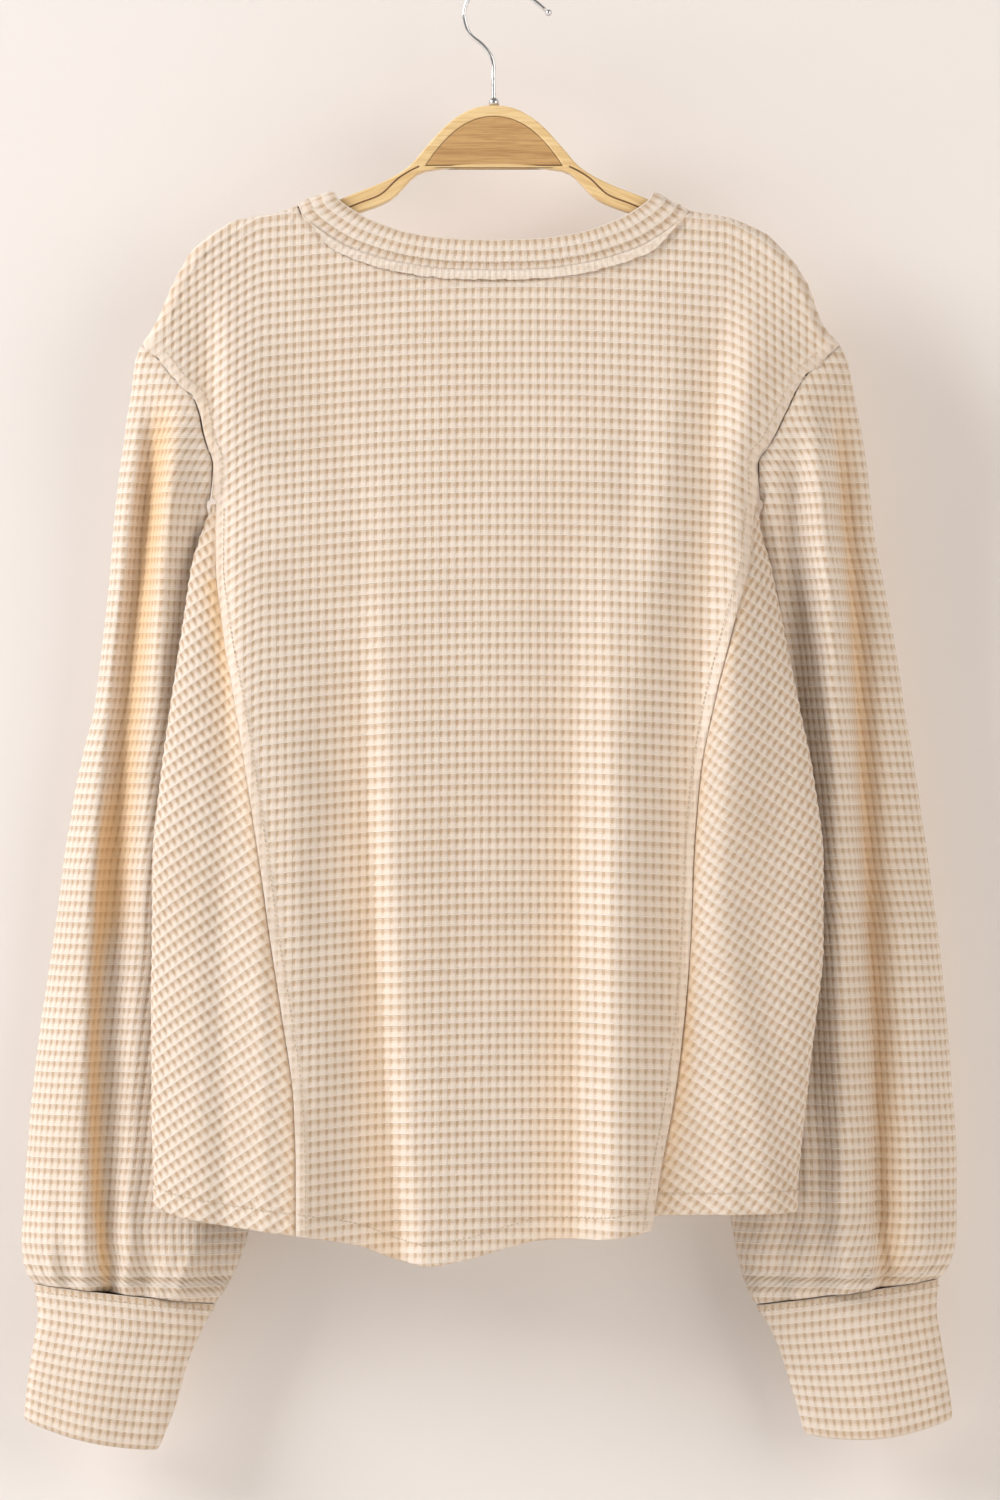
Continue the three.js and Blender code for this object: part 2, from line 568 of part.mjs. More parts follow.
function middlePanel(neck, hemZ, face) {
  const rows = panelRows(hemZ);
  const withSlit = face > 0;
  const columns = panelColumns(withSlit);
  const grid = rows.map((_, j) => columns.map((u) => {
    const { x, z } = panelPlace(neck, hemZ, rows, u, j);
    return bodyPoint(x, z, face);
  }));
  const slitColumn = NECK_COLUMNS.length + SHOULDER_COLUMNS.length + 1;
  const middle = grid.map((row) => row[slitColumn].point.z);
  const keep = (j, i) => !withSlit || i !== slitColumn || middle[j + 1] < SLIT_FOOT_Z;
  return wall(grid, CLOTH_WALL, { keep });
}

// Side panel from the back seam, round the side, to the front seam
function sidePanel(side) {
  const hem = tableCurve(SIDE_HEMS, 'around', side);
  const sign = side === 'left' ? -1 : 1;
  const heights = [SIDE_TOP_Z - SIDE_TOP_GAP, ...SIDE_ROWS.slice(1), null];
  const grid = heights.map((height) => {
    const row = [];
    for (let k = 0; k <= SIDE_COLUMNS; k += 1) {
      const around = k / SIDE_COLUMNS;
      const z = height ?? hem(around);
      const middle = (outline.left(z) + outline.right(z)) / 2;
      const half = (outline.right(z) - outline.left(z)) / 2;
      const seamOff = Math.abs(seam[side](z) - middle) / half;
      const reach = Math.acos(seamOff ** (RING_POWER / 2));
      const angle = lerp(-reach, reach, around);
      const off = Math.cos(angle) ** (2 / RING_POWER);
      const atSeam = k === 0 || k === SIDE_COLUMNS;
      const x = middle + sign * (half * off + (atSeam ? HALF_GAP : 0));
      row.push(bodyPoint(x, z, around < 0.5 ? -1 : 1));
    }
    return row;
  });
  return wall(grid, CLOTH_WALL);
}

// Places on the neck band: seamX is where its seam runs, across is 0 there and 1 at its free edge
function neckPlace(neck, seamX, across, sign) {
  const read = (column) => tableCurve(neck, 'seamX', column)(seamX);
  const x = sign * lerp(seamX, read('edgeX'), across);
  const ridge = shoulderZ(x);
  const atShoulder = seamX === neck[0].seamX;
  return { x, z: atShoulder ? ridge : Math.min(lerp(read('seamZ'), read('edgeZ'), across), ridge) };
}

// The band's stations lie at the columns of the panels that it is sewn to
function neckBand() {
  const stations = [];
  const quarter = (neck, sign, face, places) => {
    for (const seamX of places) stations.push({ neck, sign, face, seamX });
  };
  const outwards = [SLIT_HALF, ...NECK_COLUMNS];
  const inwards = [...NECK_COLUMNS].reverse();
  quarter(FRONT_NECK, -1, 1, outwards);
  quarter(BACK_NECK, -1, -1, [...inwards.slice(1), 0]);
  quarter(BACK_NECK, 1, -1, NECK_COLUMNS);
  quarter(FRONT_NECK, 1, 1, [...inwards.slice(1), SLIT_HALF]);
  const grid = [];
  for (let c = 0; c <= BAND_ROWS; c += 1) {
    grid.push(stations.map(({ neck, sign, face, seamX }) => {
      const apart = lerp(BAND_GAP, BAND_SHOULDER_GAP, smoothstep(BAND_TURN_X, neck[0].seamX, seamX));
      const across = lerp(apart / BAND_WIDTH, 1, c / BAND_ROWS);
      const { x, z } = neckPlace(neck, seamX, across, sign);
      return bodyPoint(seamX === SLIT_HALF ? sign * SLIT_HALF : x, z, face);
    }));
  }
  return wall(grid, DOUBLED_WALL);
}

// Raw edge left showing below the neck band on the back, lying on the panel
function rawStrip() {
  const lift = CLOTH_WALL / 2 + SEAM_GAP + RAW_STRIP_WALL / 2;
  const row = (drop) => {
    const points = [];
    for (let k = -RAW_STRIP_STEPS; k <= RAW_STRIP_STEPS; k += 1) {
      const seamX = (RAW_STRIP_END_X * Math.abs(k)) / RAW_STRIP_STEPS;
      const sign = k < 0 ? -1 : 1;
      const here = neckPlace(BACK_NECK, seamX, 0, sign);
      const inside = neckPlace(BACK_NECK, seamX, 1, sign);
      const away = new THREE.Vector2(here.x - inside.x, here.z - inside.z).setLength(drop);
      const spot = bodyPoint(here.x + away.x, here.z + away.y, -1);
      spot.point.addScaledVector(spot.normal, lift);
      points.push(spot);
    }
    return points;
  };
  return wall([row(SEAM_GAP * 2), row(RAW_STRIP_WIDTH)], RAW_STRIP_WALL);
}

// Placket strip over or under the slit, made from the front panel's points moved out or in
function placketStrip(side) {
  const lift = side * (DOUBLED_WALL / 2 + SEAM_GAP + CLOTH_WALL / 2);
  const top = FRONT_NECK[FRONT_NECK.length - 1].edgeZ;
  const grid = [];
  for (let j = 0; j <= PLACKET_STEPS; j += 1) {
    const z = lerp(top, PLACKET_FOOT_Z, j / PLACKET_STEPS);
    grid.push(PLACKET_COLUMNS.map((across) => {
      const spot = bodyPoint(placketMiddle() + across * PLACKET_HALF, z, 1);
      spot.point.addScaledVector(spot.normal, lift);
      return spot;
    }));
  }
  return wall(grid, CLOTH_WALL);
}

// Button with a raised rim, lying on the over strip
function button(z) {
  const wellRadius = BUTTON_RADIUS * BUTTON_WELL_SHARE;
  const profile = [
    new THREE.Vector2(0, 0),
    new THREE.Vector2(BUTTON_RADIUS - BUTTON_RIM, 0),
    new THREE.Vector2(BUTTON_RADIUS, BUTTON_RIM),
    new THREE.Vector2(BUTTON_RADIUS, BUTTON_THICKNESS - BUTTON_RIM / 2),
    new THREE.Vector2(BUTTON_RADIUS - BUTTON_RIM, BUTTON_THICKNESS),
    new THREE.Vector2(wellRadius, BUTTON_THICKNESS - BUTTON_RIM),
    new THREE.Vector2(0, BUTTON_THICKNESS - BUTTON_RIM),
  ];
  const mesh = new THREE.Mesh(new THREE.LatheGeometry(profile, BUTTON_SIDES), buttonMaterial);
  const { point, normal } = bodyPoint(placketMiddle(), z, 1);
  const lift = DOUBLED_WALL / 2 + 2 * SEAM_GAP + CLOTH_WALL;
  mesh.position.copy(point).addScaledVector(normal, lift);
  mesh.quaternion.setFromUnitVectors(new THREE.Vector3(0, 1, 0), normal);
  return mesh;
}

// How far round a sleeve's half section each of its points lies, from the outer to the inner edge
function sleeveShares() {
  const heights = [ARMHOLE_ROWS[0]];
  for (const z of ARMHOLE_ROWS.slice(1)) {
    const before = heights[heights.length - 1];
    if (before - z > SLEEVE_POINT_STEP) heights.push((before + z) / 2);
    heights.push(z);
  }
  return heights.map((z) => (z - TIP_Z) / (UNDERARM_Z - TIP_Z));
}

// Place on the armhole's edge, straight between the heights where the panels have their points
function armholePlace(side, share, face) {
  const z = lerp(TIP_Z, UNDERARM_Z, share);
  let k = 0;
  while (k < ARMHOLE_ROWS.length - 2 && ARMHOLE_ROWS[k + 1] > z) k += 1;
  const spots = [ARMHOLE_ROWS[k], ARMHOLE_ROWS[k + 1]].map((row) => {
    const x = outline[side](row);
    return new THREE.Vector3(x, bodyDepth(x, row, face), row);
  });
  const between = (z - ARMHOLE_ROWS[k]) / (ARMHOLE_ROWS[k + 1] - ARMHOLE_ROWS[k]);
  const shift = SLEEVE_SEAM_SHIFT + UNDERARM_SHIFT * share ** UNDERARM_POWER;
  const sign = side === 'left' ? -1 : 1;
  const away = new THREE.Vector3(sign * SLEEVE_AWAY_X, 0, SLEEVE_AWAY_Z).multiplyScalar(shift);
  return spots[0].lerp(spots[1], between).add(away);
}

function sectionPlace(section, share, face) {
  const round = Math.sqrt(Math.max(0, 1 - (2 * share - 1) ** 2));
  return new THREE.Vector3(
    lerp(section.outX, section.inX, share),
    section.behind + face * section.depth * round,
    lerp(section.outZ, section.inZ, share),
  );
}

function sleeveFold(folds, x, z) {
  let height = 0;
  for (const fold of folds) {
    const path = tableCurve(
      [{ z: fold.topZ, x: fold.topX }, { z: fold.midZ, x: fold.midX }, { z: fold.lowZ, x: fold.lowX }],
      'z',
      'x',
    );
    const across = (x - path(z)) / fold.width;
    const fade = smoothstep(0, SLEEVE_FOLD_START, fold.topZ - z)
      * smoothstep(SLEEVE_FOLD_GONE, SLEEVE_FOLD_FULL, z - fold.lowZ);
    height += fold.rise * fade * Math.exp(-across * across);
  }
  return height;
}

function farSleeveFold(share, z, width) {
  let height = 0;
  for (const fold of FAR_SLEEVE_FOLDS) {
    const across = ((share - fold.across) * width) / fold.width;
    height += fold.rise * smoothstep(0, FAR_FOLD_START, fold.topZ - z) * Math.exp(-across * across);
  }
  return height;
}

// Grid of a tube: each point's way out comes from its neighbours
function tubeGrid(rings) {
  const turn = (ring, i) => ring[(i + ring.length) % ring.length];
  return rings.map((ring, j) => ring.map((point, i) => {
    const above = rings[Math.max(j - 1, 0)][i];
    const below = rings[Math.min(j + 1, rings.length - 1)][i];
    const along = below.clone().sub(above);
    const around = turn(ring, i + 1).clone().sub(turn(ring, i - 1));
    return { point, normal: around.cross(along).normalize() };
  }));
}

function sleeve(side) {
  const sections = side === 'left' ? LEFT_SLEEVE : RIGHT_SLEEVE;
  const folds = side === 'left' ? LEFT_SLEEVE_FOLDS : RIGHT_SLEEVE_FOLDS;
  const shares = sleeveShares();
  const last = sections[sections.length - 1];
  const spots = [
    ...shares.map((share) => ({ share, face: -1 })),
    ...shares.slice(1, -1).reverse().map((share) => ({ share, face: 1 })),
  ];
  const rings = sections.map((section) => spots.map(({ share, face }, i) => {
    const place = sectionPlace(section, share, face);
    const armhole = armholePlace(side, share, face).sub(sectionPlace(sections[0], share, face));
    place.addScaledVector(armhole, section.keep);
    const free = 1 - section.keep;
    const width = Math.abs(section.outX - section.inX);
    const edge = Math.sqrt(Math.max(0, 1 - (2 * share - 1) ** 2));
    const fold = face < 0 ? sleeveFold(folds, place.x, place.z) : farSleeveFold(share, place.z, width);
    const near = smoothstep(GATHER_REACH, 0, place.z - lerp(last.outZ, last.inZ, share));
    const wave = Math.cos((2 * Math.PI * GATHERS * i) / spots.length);
    const gather = GATHER_RISE * near * wave * (near < 1 ? 1 : GATHER_AT_SEAM);
    place.y += face * edge * (fold * free + gather);
    return place;
  }));
  return wall(tubeGrid(rings), CLOTH_WALL, { closed: true });
}

function cuff(side) {
  const sections = side === 'left' ? LEFT_CUFF : RIGHT_CUFF;
  const rings = sections.map((section) => {
    const ring = [];
    for (let i = 0; i < 2 * CUFF_HALF_POINTS; i += 1) {
      const angle = (Math.PI * i) / CUFF_HALF_POINTS;
      const share = (1 - Math.cos(angle)) / 2;
      const place = sectionPlace(section, share, 0);
      place.y -= section.depth * Math.sin(angle);
      place.z -= section.dip * Math.sin(angle) ** 2;
      ring.push(place);
    }
    return ring;
  });
  return wall(tubeGrid(rings), DOUBLED_WALL, { closed: true });
}

// Hanger seen from the front: top and bottom of the wood at a distance from its middle
function hangerTop(sign) {
  const crown = HANGER_CROWN.map(({ x, top }) => new THREE.Vector2(sign * x, top));
  const arm = HANGER_ARM_POINTS.map((x) => {
    const drop = HANGER_DROP * Math.hypot(1, shoulderSlope(sign * x));
    return new THREE.Vector2(sign * x, shoulderZ(sign * x) - drop);
  });
  return [...crown, ...arm];
}

function hangerBottom(sign) {
  const top = hangerTop(sign).filter((spot) => Math.abs(spot.x) > ARM_START_X);
  const last = top.length - 1;
  return top.map((spot, k) => {
    const ahead = top[Math.min(k + 1, last)];
    const behind = top[Math.max(k - 1, 0)];
    const along = ahead.clone().sub(behind).normalize();
    return spot.clone().add(new THREE.Vector2(along.y, -along.x).multiplyScalar(sign * HANGER_DEPTH));
  });
}

function hangerOutline() {
  const points = [];
  const half = (sign) => {
    const top = hangerTop(sign);
    const tip = top[top.length - 1];
    const bottom = hangerBottom(sign);
    const foot = bottom[bottom.length - 1];
    const end = new THREE.Vector2(sign * HANGER_TIP_X, (tip.y + foot.y) / 2);
    return [...top, end, ...bottom.reverse(), new THREE.Vector2(sign * PLATE_HALF, RAIL_LOW)];
  };
  points.push(...half(1));
  points.push(...half(-1).reverse().slice(0, -1));
  return points.reverse();
}

// Outline of the inset plate: flat below, arched above
function plateOutline(shrink) {
  const points = [];
  for (let k = 0; k <= PLATE_STEPS; k += 1) {
    const off = -Math.cos((Math.PI * k) / PLATE_STEPS);
    const rise = 1 - Math.abs(off) ** PLATE_POWER;
    const x = off * (PLATE_HALF - shrink * PLATE_END_GAPS);
    points.push(new THREE.Vector2(x, lerp(PLATE_LOW + shrink, PLATE_TOP - shrink, rise)));
  }
  return points;
}

// Flat shape in X and Z given a thickness in Y
function slab(shape, thickness, bevel) {
  const geometry = new THREE.ExtrudeGeometry(shape, {
    depth: thickness - 2 * bevel,
    bevelEnabled: bevel > 0,
    bevelThickness: bevel,
    bevelSize: bevel,
    bevelOffset: -bevel,
    bevelSegments: 1,
    steps: 1,
  });
  geometry.translate(0, 0, bevel - thickness / 2);
  geometry.rotateX(Math.PI / 2);
  return geometry;
}

function hangerFrame() {
  const shape = new THREE.Shape(hangerOutline());
  shape.holes.push(new THREE.Path(plateOutline(0)));
  return slab(shape, HANGER_THICKNESS, HANGER_BEVEL);
}

function hangerPlate() {
  return slab(new THREE.Shape(plateOutline(SEAM_GAP)), PLATE_THICKNESS, 0);
}

function hookPath() {
  const points = [{ x: 0, z: HANGER_CROWN[0].top + SEAM_GAP }, ...HOOK_STEM];
  for (let degrees = CROOK_FROM; degrees <= CROOK_TO; degrees += CROOK_TURN) {
    const angle = THREE.MathUtils.degToRad(degrees);
    points.push({ x: CROOK_RADIUS * Math.sin(angle), z: CROOK_CENTRE_Z + CROOK_RADIUS * Math.cos(angle) });
  }
  points.push(...HOOK_END);
  return new THREE.CatmullRomCurve3(points.map(({ x, z }) => new THREE.Vector3(x, 0, z)));
}

function hookWire() {
  const section = new THREE.Shape();
  for (let k = 0; k < HOOK_SIDES; k += 1) {
    const angle = (2 * Math.PI * k) / HOOK_SIDES;
    const x = WIRE_RADIUS * Math.cos(angle);
    const y = WIRE_RADIUS * Math.sin(angle);
    if (k === 0) section.moveTo(x, y);
    else section.lineTo(x, y);
  }
  const options = { extrudePath: hookPath(), steps: HOOK_STEPS, bevelEnabled: false };
  return new THREE.ExtrudeGeometry(section, options);
}

function ferrule() {
  const inner = WIRE_RADIUS + SEAM_GAP;
  const profile = [
    new THREE.Vector2(inner, 0),
    new THREE.Vector2(FERRULE_RADIUS, 0),
    new THREE.Vector2(FERRULE_RADIUS, FERRULE_SHOULDER_HEIGHT),
    new THREE.Vector2(inner + FERRULE_LIP, FERRULE_HEIGHT),
    new THREE.Vector2(inner, FERRULE_HEIGHT),
    new THREE.Vector2(inner, 0),
  ];
  const geometry = new THREE.LatheGeometry(profile, FERRULE_SIDES);
  geometry.rotateX(Math.PI / 2);
  geometry.translate(0, 0, HANGER_CROWN[0].top + SEAM_GAP);
  return geometry;
}

function hookTip() {
  const path = hookPath();
  const way = path.getTangent(1);
  const geometry = new THREE.SphereGeometry(HOOK_TIP_RADIUS, HOOK_TIP_SIDES, HOOK_TIP_RINGS);
  const centre = path.getPoint(1).addScaledVector(way, HOOK_TIP_RADIUS + SEAM_GAP);
  geometry.translate(centre.x, centre.y, centre.z);
  return geometry;
}

const shirt = new THREE.Group();

function add(name, geometry, material) {
  const mesh = new THREE.Mesh(geometry, material);
  mesh.name = name;
  shirt.add(mesh);
}

add('back_panel', middlePanel(BACK_NECK, backHemZ, -1), clothMaterial);
add('front_panel', middlePanel(FRONT_NECK, frontHemZ, 1), clothMaterial);
for (const side of ['left', 'right']) {
  add(`side_panel_${side}`, sidePanel(side), clothMaterial);
  add(`sleeve_${side}`, sleeve(side), clothMaterial);
  add(`cuff_${side}`, cuff(side), clothMaterial);
}
add('neck_band', neckBand(), clothMaterial);
add('neck_raw_strip', rawStrip(), clothMaterial);
add('placket_over', placketStrip(1), clothMaterial);
add('placket_under', placketStrip(-1), clothMaterial);
BUTTON_HEIGHTS.forEach((z, k) => {
  const mesh = button(z);
  mesh.name = `button_${k + 1}`;
  shirt.add(mesh);
});
add('hanger_frame', hangerFrame(), woodMaterial);
add('hanger_plate', hangerPlate(), plateMaterial);
add('hook_wire', hookWire(), wireMaterial);
add('hook_ferrule', ferrule(), wireMaterial);
add('hook_tip', hookTip(), wireMaterial);

export default shirt;
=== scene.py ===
"""Dresses the henley shirt: waffle knit with real relief, its seams and stitches, and the hanger.

Lengths in the tables are millimetres in the row frame: +Z is up, the back of the shirt faces -Y
and +X is on the right as seen from there. The origin is the inside top of the hook's crook.
"""

from __future__ import annotations

import logging
import math
from collections.abc import Callable, Sequence
from dataclasses import dataclass, field
from enum import Enum

import bmesh
import bpy
import numpy as np
from bpy.types import ID, Material, Mesh, Node, NodeOutputs, NodeSocket, NodeTree, Object
from mathutils import Matrix, Vector


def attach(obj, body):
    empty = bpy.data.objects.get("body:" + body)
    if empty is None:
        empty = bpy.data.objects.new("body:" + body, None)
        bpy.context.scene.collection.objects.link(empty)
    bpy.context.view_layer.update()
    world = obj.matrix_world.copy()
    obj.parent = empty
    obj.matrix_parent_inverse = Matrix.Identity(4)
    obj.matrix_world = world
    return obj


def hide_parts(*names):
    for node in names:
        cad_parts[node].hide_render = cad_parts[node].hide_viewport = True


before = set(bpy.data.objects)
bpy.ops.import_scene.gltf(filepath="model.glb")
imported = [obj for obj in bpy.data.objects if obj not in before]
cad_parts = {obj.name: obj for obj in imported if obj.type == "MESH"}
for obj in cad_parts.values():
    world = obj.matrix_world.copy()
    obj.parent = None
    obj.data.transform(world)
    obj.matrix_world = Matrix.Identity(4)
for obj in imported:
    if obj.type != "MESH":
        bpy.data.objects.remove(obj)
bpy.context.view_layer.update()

LOG = logging.getLogger("henley")
MM = 0.001
Array = np.ndarray


class Side(Enum):
    """The two sides of the shirt as seen from its back."""

    LEFT = "left"
    RIGHT = "right"

    @property
    def sign(self) -> int:
        """Sign of X on this side."""
        return -1 if self is Side.LEFT else 1


class Face(Enum):
    """The two faces of the body: the back looks along -Y, the front along +Y."""

    BACK = -1
    FRONT = 1


class Slot(Enum):
    """Material slots of the part."""

    KNIT = "waffle_knit"
    BUTTON = "button"
    WOOD = "hanger_wood"
    PLATE = "hanger_plate"
    METAL = "hook_metal"


def smoothstep(low: float, high: float, t: Array) -> Array:
    """Soft step from 0 at low to 1 at high."""
    f = np.clip((t - low) / (high - low), 0.0, 1.0)
    return f * f * (3 - 2 * f)


def lerp(a: Array, b: Array, t: Array) -> Array:
    """Straight blend from a to b."""
    return a + (b - a) * t


def bell(t: Array, width: float) -> Array:
    """Bell curve with a height of 1 where t is 0."""
    return np.exp(-((t / width) ** 2))


def unit(vectors: Array) -> Array:
    """The same vectors with a length of 1."""
    return vectors / np.maximum(np.linalg.norm(vectors, axis=-1, keepdims=True), 1e-9)


def hermite(start: Array, leaving: Array, end: Array, arriving: Array, t: float) -> Array:
    """Point between two points whose tangents are given, at t from 0 to 1."""
    return (start * (2 * t**3 - 3 * t**2 + 1) + leaving * (t**3 - 2 * t**2 + t)
            + end * (3 * t**2 - 2 * t**3) + arriving * (t**3 - t**2))


class Curve:
    """Smooth curve through the rows of a table, without overshoot."""

    def __init__(self, at: Sequence[float], to: Sequence[float]) -> None:
        """Sorts the rows and works out a slope at each.

        Args:
            at: Places of the rows.
            to: Value at each place.
        """
        order = np.argsort(at)
        self.at = np.asarray(at, float)[order]
        self.to = np.asarray(to, float)[order]
        rise = np.diff(self.to) / np.diff(self.at)
        slope = np.empty_like(self.to)
        slope[0], slope[-1] = rise[0], rise[-1]
        before, after = rise[:-1], rise[1:]
        total = np.where(before * after > 0, before + after, 1.0)
        slope[1:-1] = np.where(before * after > 0, 2 * before * after / total, 0.0)
        self.slope = slope

    def __call__(self, t: Array) -> Array:
        """Value at each place t, held at the ends."""
        t = np.clip(np.asarray(t, float), self.at[0], self.at[-1])
        i = np.clip(np.searchsorted(self.at, t, side="right") - 1, 0, len(self.at) - 2)
        span = self.at[i + 1] - self.at[i]
        f = (t - self.at[i]) / span
        g = 1 - f
        ends = self.to[i] * g * g * (1 + 2 * f) + self.to[i + 1] * f * f * (1 + 2 * g)
        return ends + span * f * g * (self.slope[i] * g - self.slope[i + 1] * f)


def columns(rows: Sequence[Sequence[float]]) -> list[list[float]]:
    """Columns of a table given by its rows."""
    return [list(column) for column in zip(*rows)]


# Outline of the body seen from the back: height, left edge, right edge
OUTLINE = (
    (-230, -224.6, 220.7), (-239, -214.5, 211), (-252, -204, 197), (-267, -190, 189),
    (-291, -184, 177), (-305, -179, 168), (-328, -180, 168.5), (-352, -187.5, 171),
    (-371, -193, 176.5), (-406, -198, 183.5), (-458, -206, 194), (-509, -212.7, 204),
    (-560, -217.7, 210), (-611, -218.2, 210), (-662, -218.5, 205), (-714, -218.3, 199),
    (-765, -217, 194), (-800, -216.3, 192.5),
)
# Top line of the shoulders
SHOULDER_LINE = (
    (-224.6, -230), (-215, -214.5), (-205, -189), (-195, -172.5), (-177.5, -156.5),
    (-162.5, -150), (-135, -144), (-124, -139.5), (-104, -132), (0, -110), (102, -132),
    (113, -138.5), (124, -143.5), (149, -148), (173.5, -159), (189.5, -174), (201, -192),
    (211, -218), (220.7, -230),
)
# Height, half depth at the middle, half depth at the edges, swing of the sides to the viewer
DEPTHS = (
    (-130, 11, 8, 0), (-184, 12, 8, 0), (-230, 14, 9, 0), (-262, 16, 15, 0), (-290, 17, 13, 0),
    (-312, 18, 7, 0), (-331, 18.5, 0, 0), (-371, 20, 0, 4), (-406, 22, 0, 8), (-458, 24, 0, 12),
    (-560, 27, 0, 13), (-820, 31, 0, 13),
)
# Height, left seam, right seam between the middle panels and the side panels
SIDE_SEAMS = (
    (-331, -178, 167), (-371, -178, 162.5), (-406, -174, 154), (-458, -165, 141),
    (-509, -157, 131.5), (-560, -149.5, 127.5), (-611, -142.5, 125.5), (-662, -134.5, 121.5),
    (-714, -127.5, 114.5), (-760, -126, 105.5), (-800, -126, 99.5),
)
BACK_HEM = (
    (-126, -798.5), (-105, -802), (-84.5, -806), (-62, -814.5), (-41.5, -818), (-17, -814),
    (11.5, -806), (36, -801.3), (64, -801.3), (87, -798.7), (99.5, -795.5),
)
FRONT_HEM = ((-126, -798.5), (-60, -806), (-10, -809), (50, -804), (99.5, -790))
# Hem of a side panel: share of the way round from the back seam, left height, right height
SIDE_HEMS = ((0, -798.5, -786), (0.25, -789, -785.5), (0.5, -781, -784.5), (0.75, -789, -785.5),
             (1, -798.5, -790))
# Neck: seam x, seam z, free edge x, free edge z
BACK_NECK = (
    (126, -143, 103, -132.5), (122, -148.5, 100, -136.5), (112, -157.5, 93, -142),
    (91, -169.5, 78, -150.5), (57, -179.3, 52, -159), (28, -183, 26, -162.3),
    (0, -183.7, 0, -163.2),
)
FRONT_NECK = (
    (126, -143, 103, -132.5), (123.5, -147.5, 101.5, -136.5), (118, -160, 97, -147),
    (106, -189, 87, -173), (88, -214, 72, -195.5), (66, -230, 54, -210), (30, -239.5, 25, -218.7),
    (0, -241, 0, -220),
)

RING_POWER = 2.4
RIDGE_ROUND = 8.0
RIDGE_POWER = 3.0
TIP_Z = -230.0
NECK_END_X = 126.0
UNDERARM_Z = -327.5
SIDE_TOP_Z = -331.0
HALF_GAP = 0.15
SEAM_GAP = 0.3
FOLD_EDGE_POWER = 6
CLOTH_WALL = 2.0
DOUBLED_WALL = 3.0
SLIT_FOOT_Z = -375.0
SLIT_HALF = 4.0

OUTLINE_Z, OUTLINE_LEFT, OUTLINE_RIGHT = columns(OUTLINE)
OUTLINES = {Side.LEFT: Curve(OUTLINE_Z, OUTLINE_LEFT), Side.RIGHT: Curve(OUTLINE_Z, OUTLINE_RIGHT)}
PLACKET_X = float(OUTLINES[Side.LEFT](TIP_Z) + OUTLINES[Side.RIGHT](TIP_Z)) / 2
SEAM_Z, SEAM_LEFT, SEAM_RIGHT = columns(SIDE_SEAMS)
SEAMS = {Side.LEFT: Curve(SEAM_Z, SEAM_LEFT), Side.RIGHT: Curve(SEAM_Z, SEAM_RIGHT)}
SHOULDER = Curve(*columns(SHOULDER_LINE))
DEPTH_Z, DEPTH_MIDDLE, DEPTH_EDGE, DEPTH_SWING = columns(DEPTHS)
MIDDLE_DEPTH = Curve(DEPTH_Z, DEPTH_MIDDLE)
EDGE_DEPTH = Curve(DEPTH_Z, DEPTH_EDGE)
SWING = Curve(DEPTH_Z, DEPTH_SWING)
HEMS = {Face.BACK: Curve(*columns(BACK_HEM)), Face.FRONT: Curve(*columns(FRONT_HEM))}


@dataclass(frozen=True)
class Neck:
    """Neck seam and free edge of the neck band on one face of the body."""

    rows: tuple[tuple[float, ...], ...]

    def read(self, column: int, seam_x: Array) -> Array:
        """Value of one column of the table at a distance along the seam."""
        return Curve([row[0] for row in self.rows], [row[column] for row in self.rows])(seam_x)

    def place(self, seam_x: Array, across: Array, sign: Array) -> tuple[Array, Array]:
        """X and Z on the band.

        Args:
            seam_x: Distance from the middle where the seam runs.
            across: 0 at the seam and 1 at the free edge.
            sign: -1 on the left and 1 on the right.

        Returns:
            The X and the Z of each place.
        """
        x = sign * lerp(seam_x, self.read(2, seam_x), across)
        z = lerp(self.read(1, seam_x), self.read(3, seam_x), across)
        ridge = SHOULDER(x)
        low = np.minimum(z, ridge)
        return x, lerp(low, ridge, smoothstep(NECK_END_X - 4, NECK_END_X, seam_x))


NECKS = {Face.BACK: Neck(BACK_NECK), Face.FRONT: Neck(FRONT_NECK)}


@dataclass(frozen=True)
class Fold:
    """Crest (rise above 0) or trough of the hanging cloth, from its top to its foot."""

    top: tuple[float, float]
    foot: tuple[float, float]
    left: float
    right: float
    rise: float
    bend: float = 0.0
    start: float = 0.6
    fades: bool = False

    def height(self, x: Array, z: Array) -> Array:
        """Height of the fold at each place on the body."""
        down = (self.top[1] - z) / (self.top[1] - self.foot[1])
        held = np.clip(down, 0.0, 1.2)
        middle = lerp(self.top[0], self.foot[0], down) + self.bend * 4 * held * (1 - held)
        across = (x - middle) / np.where(x < middle, self.left, self.right)
        height = self.rise * smoothstep(0.0, self.start, down) * np.exp(-across * across)
        return height * (1 - smoothstep(0.6, 1.0, down)) if self.fades else height


def even(top_x: float, top_z: float, low_x: float, low_z: float, width: float, rise: float) -> Fold:
    """Fold with the same width on both of its sides."""
    return Fold((top_x, top_z), (low_x, low_z), width, width, rise)


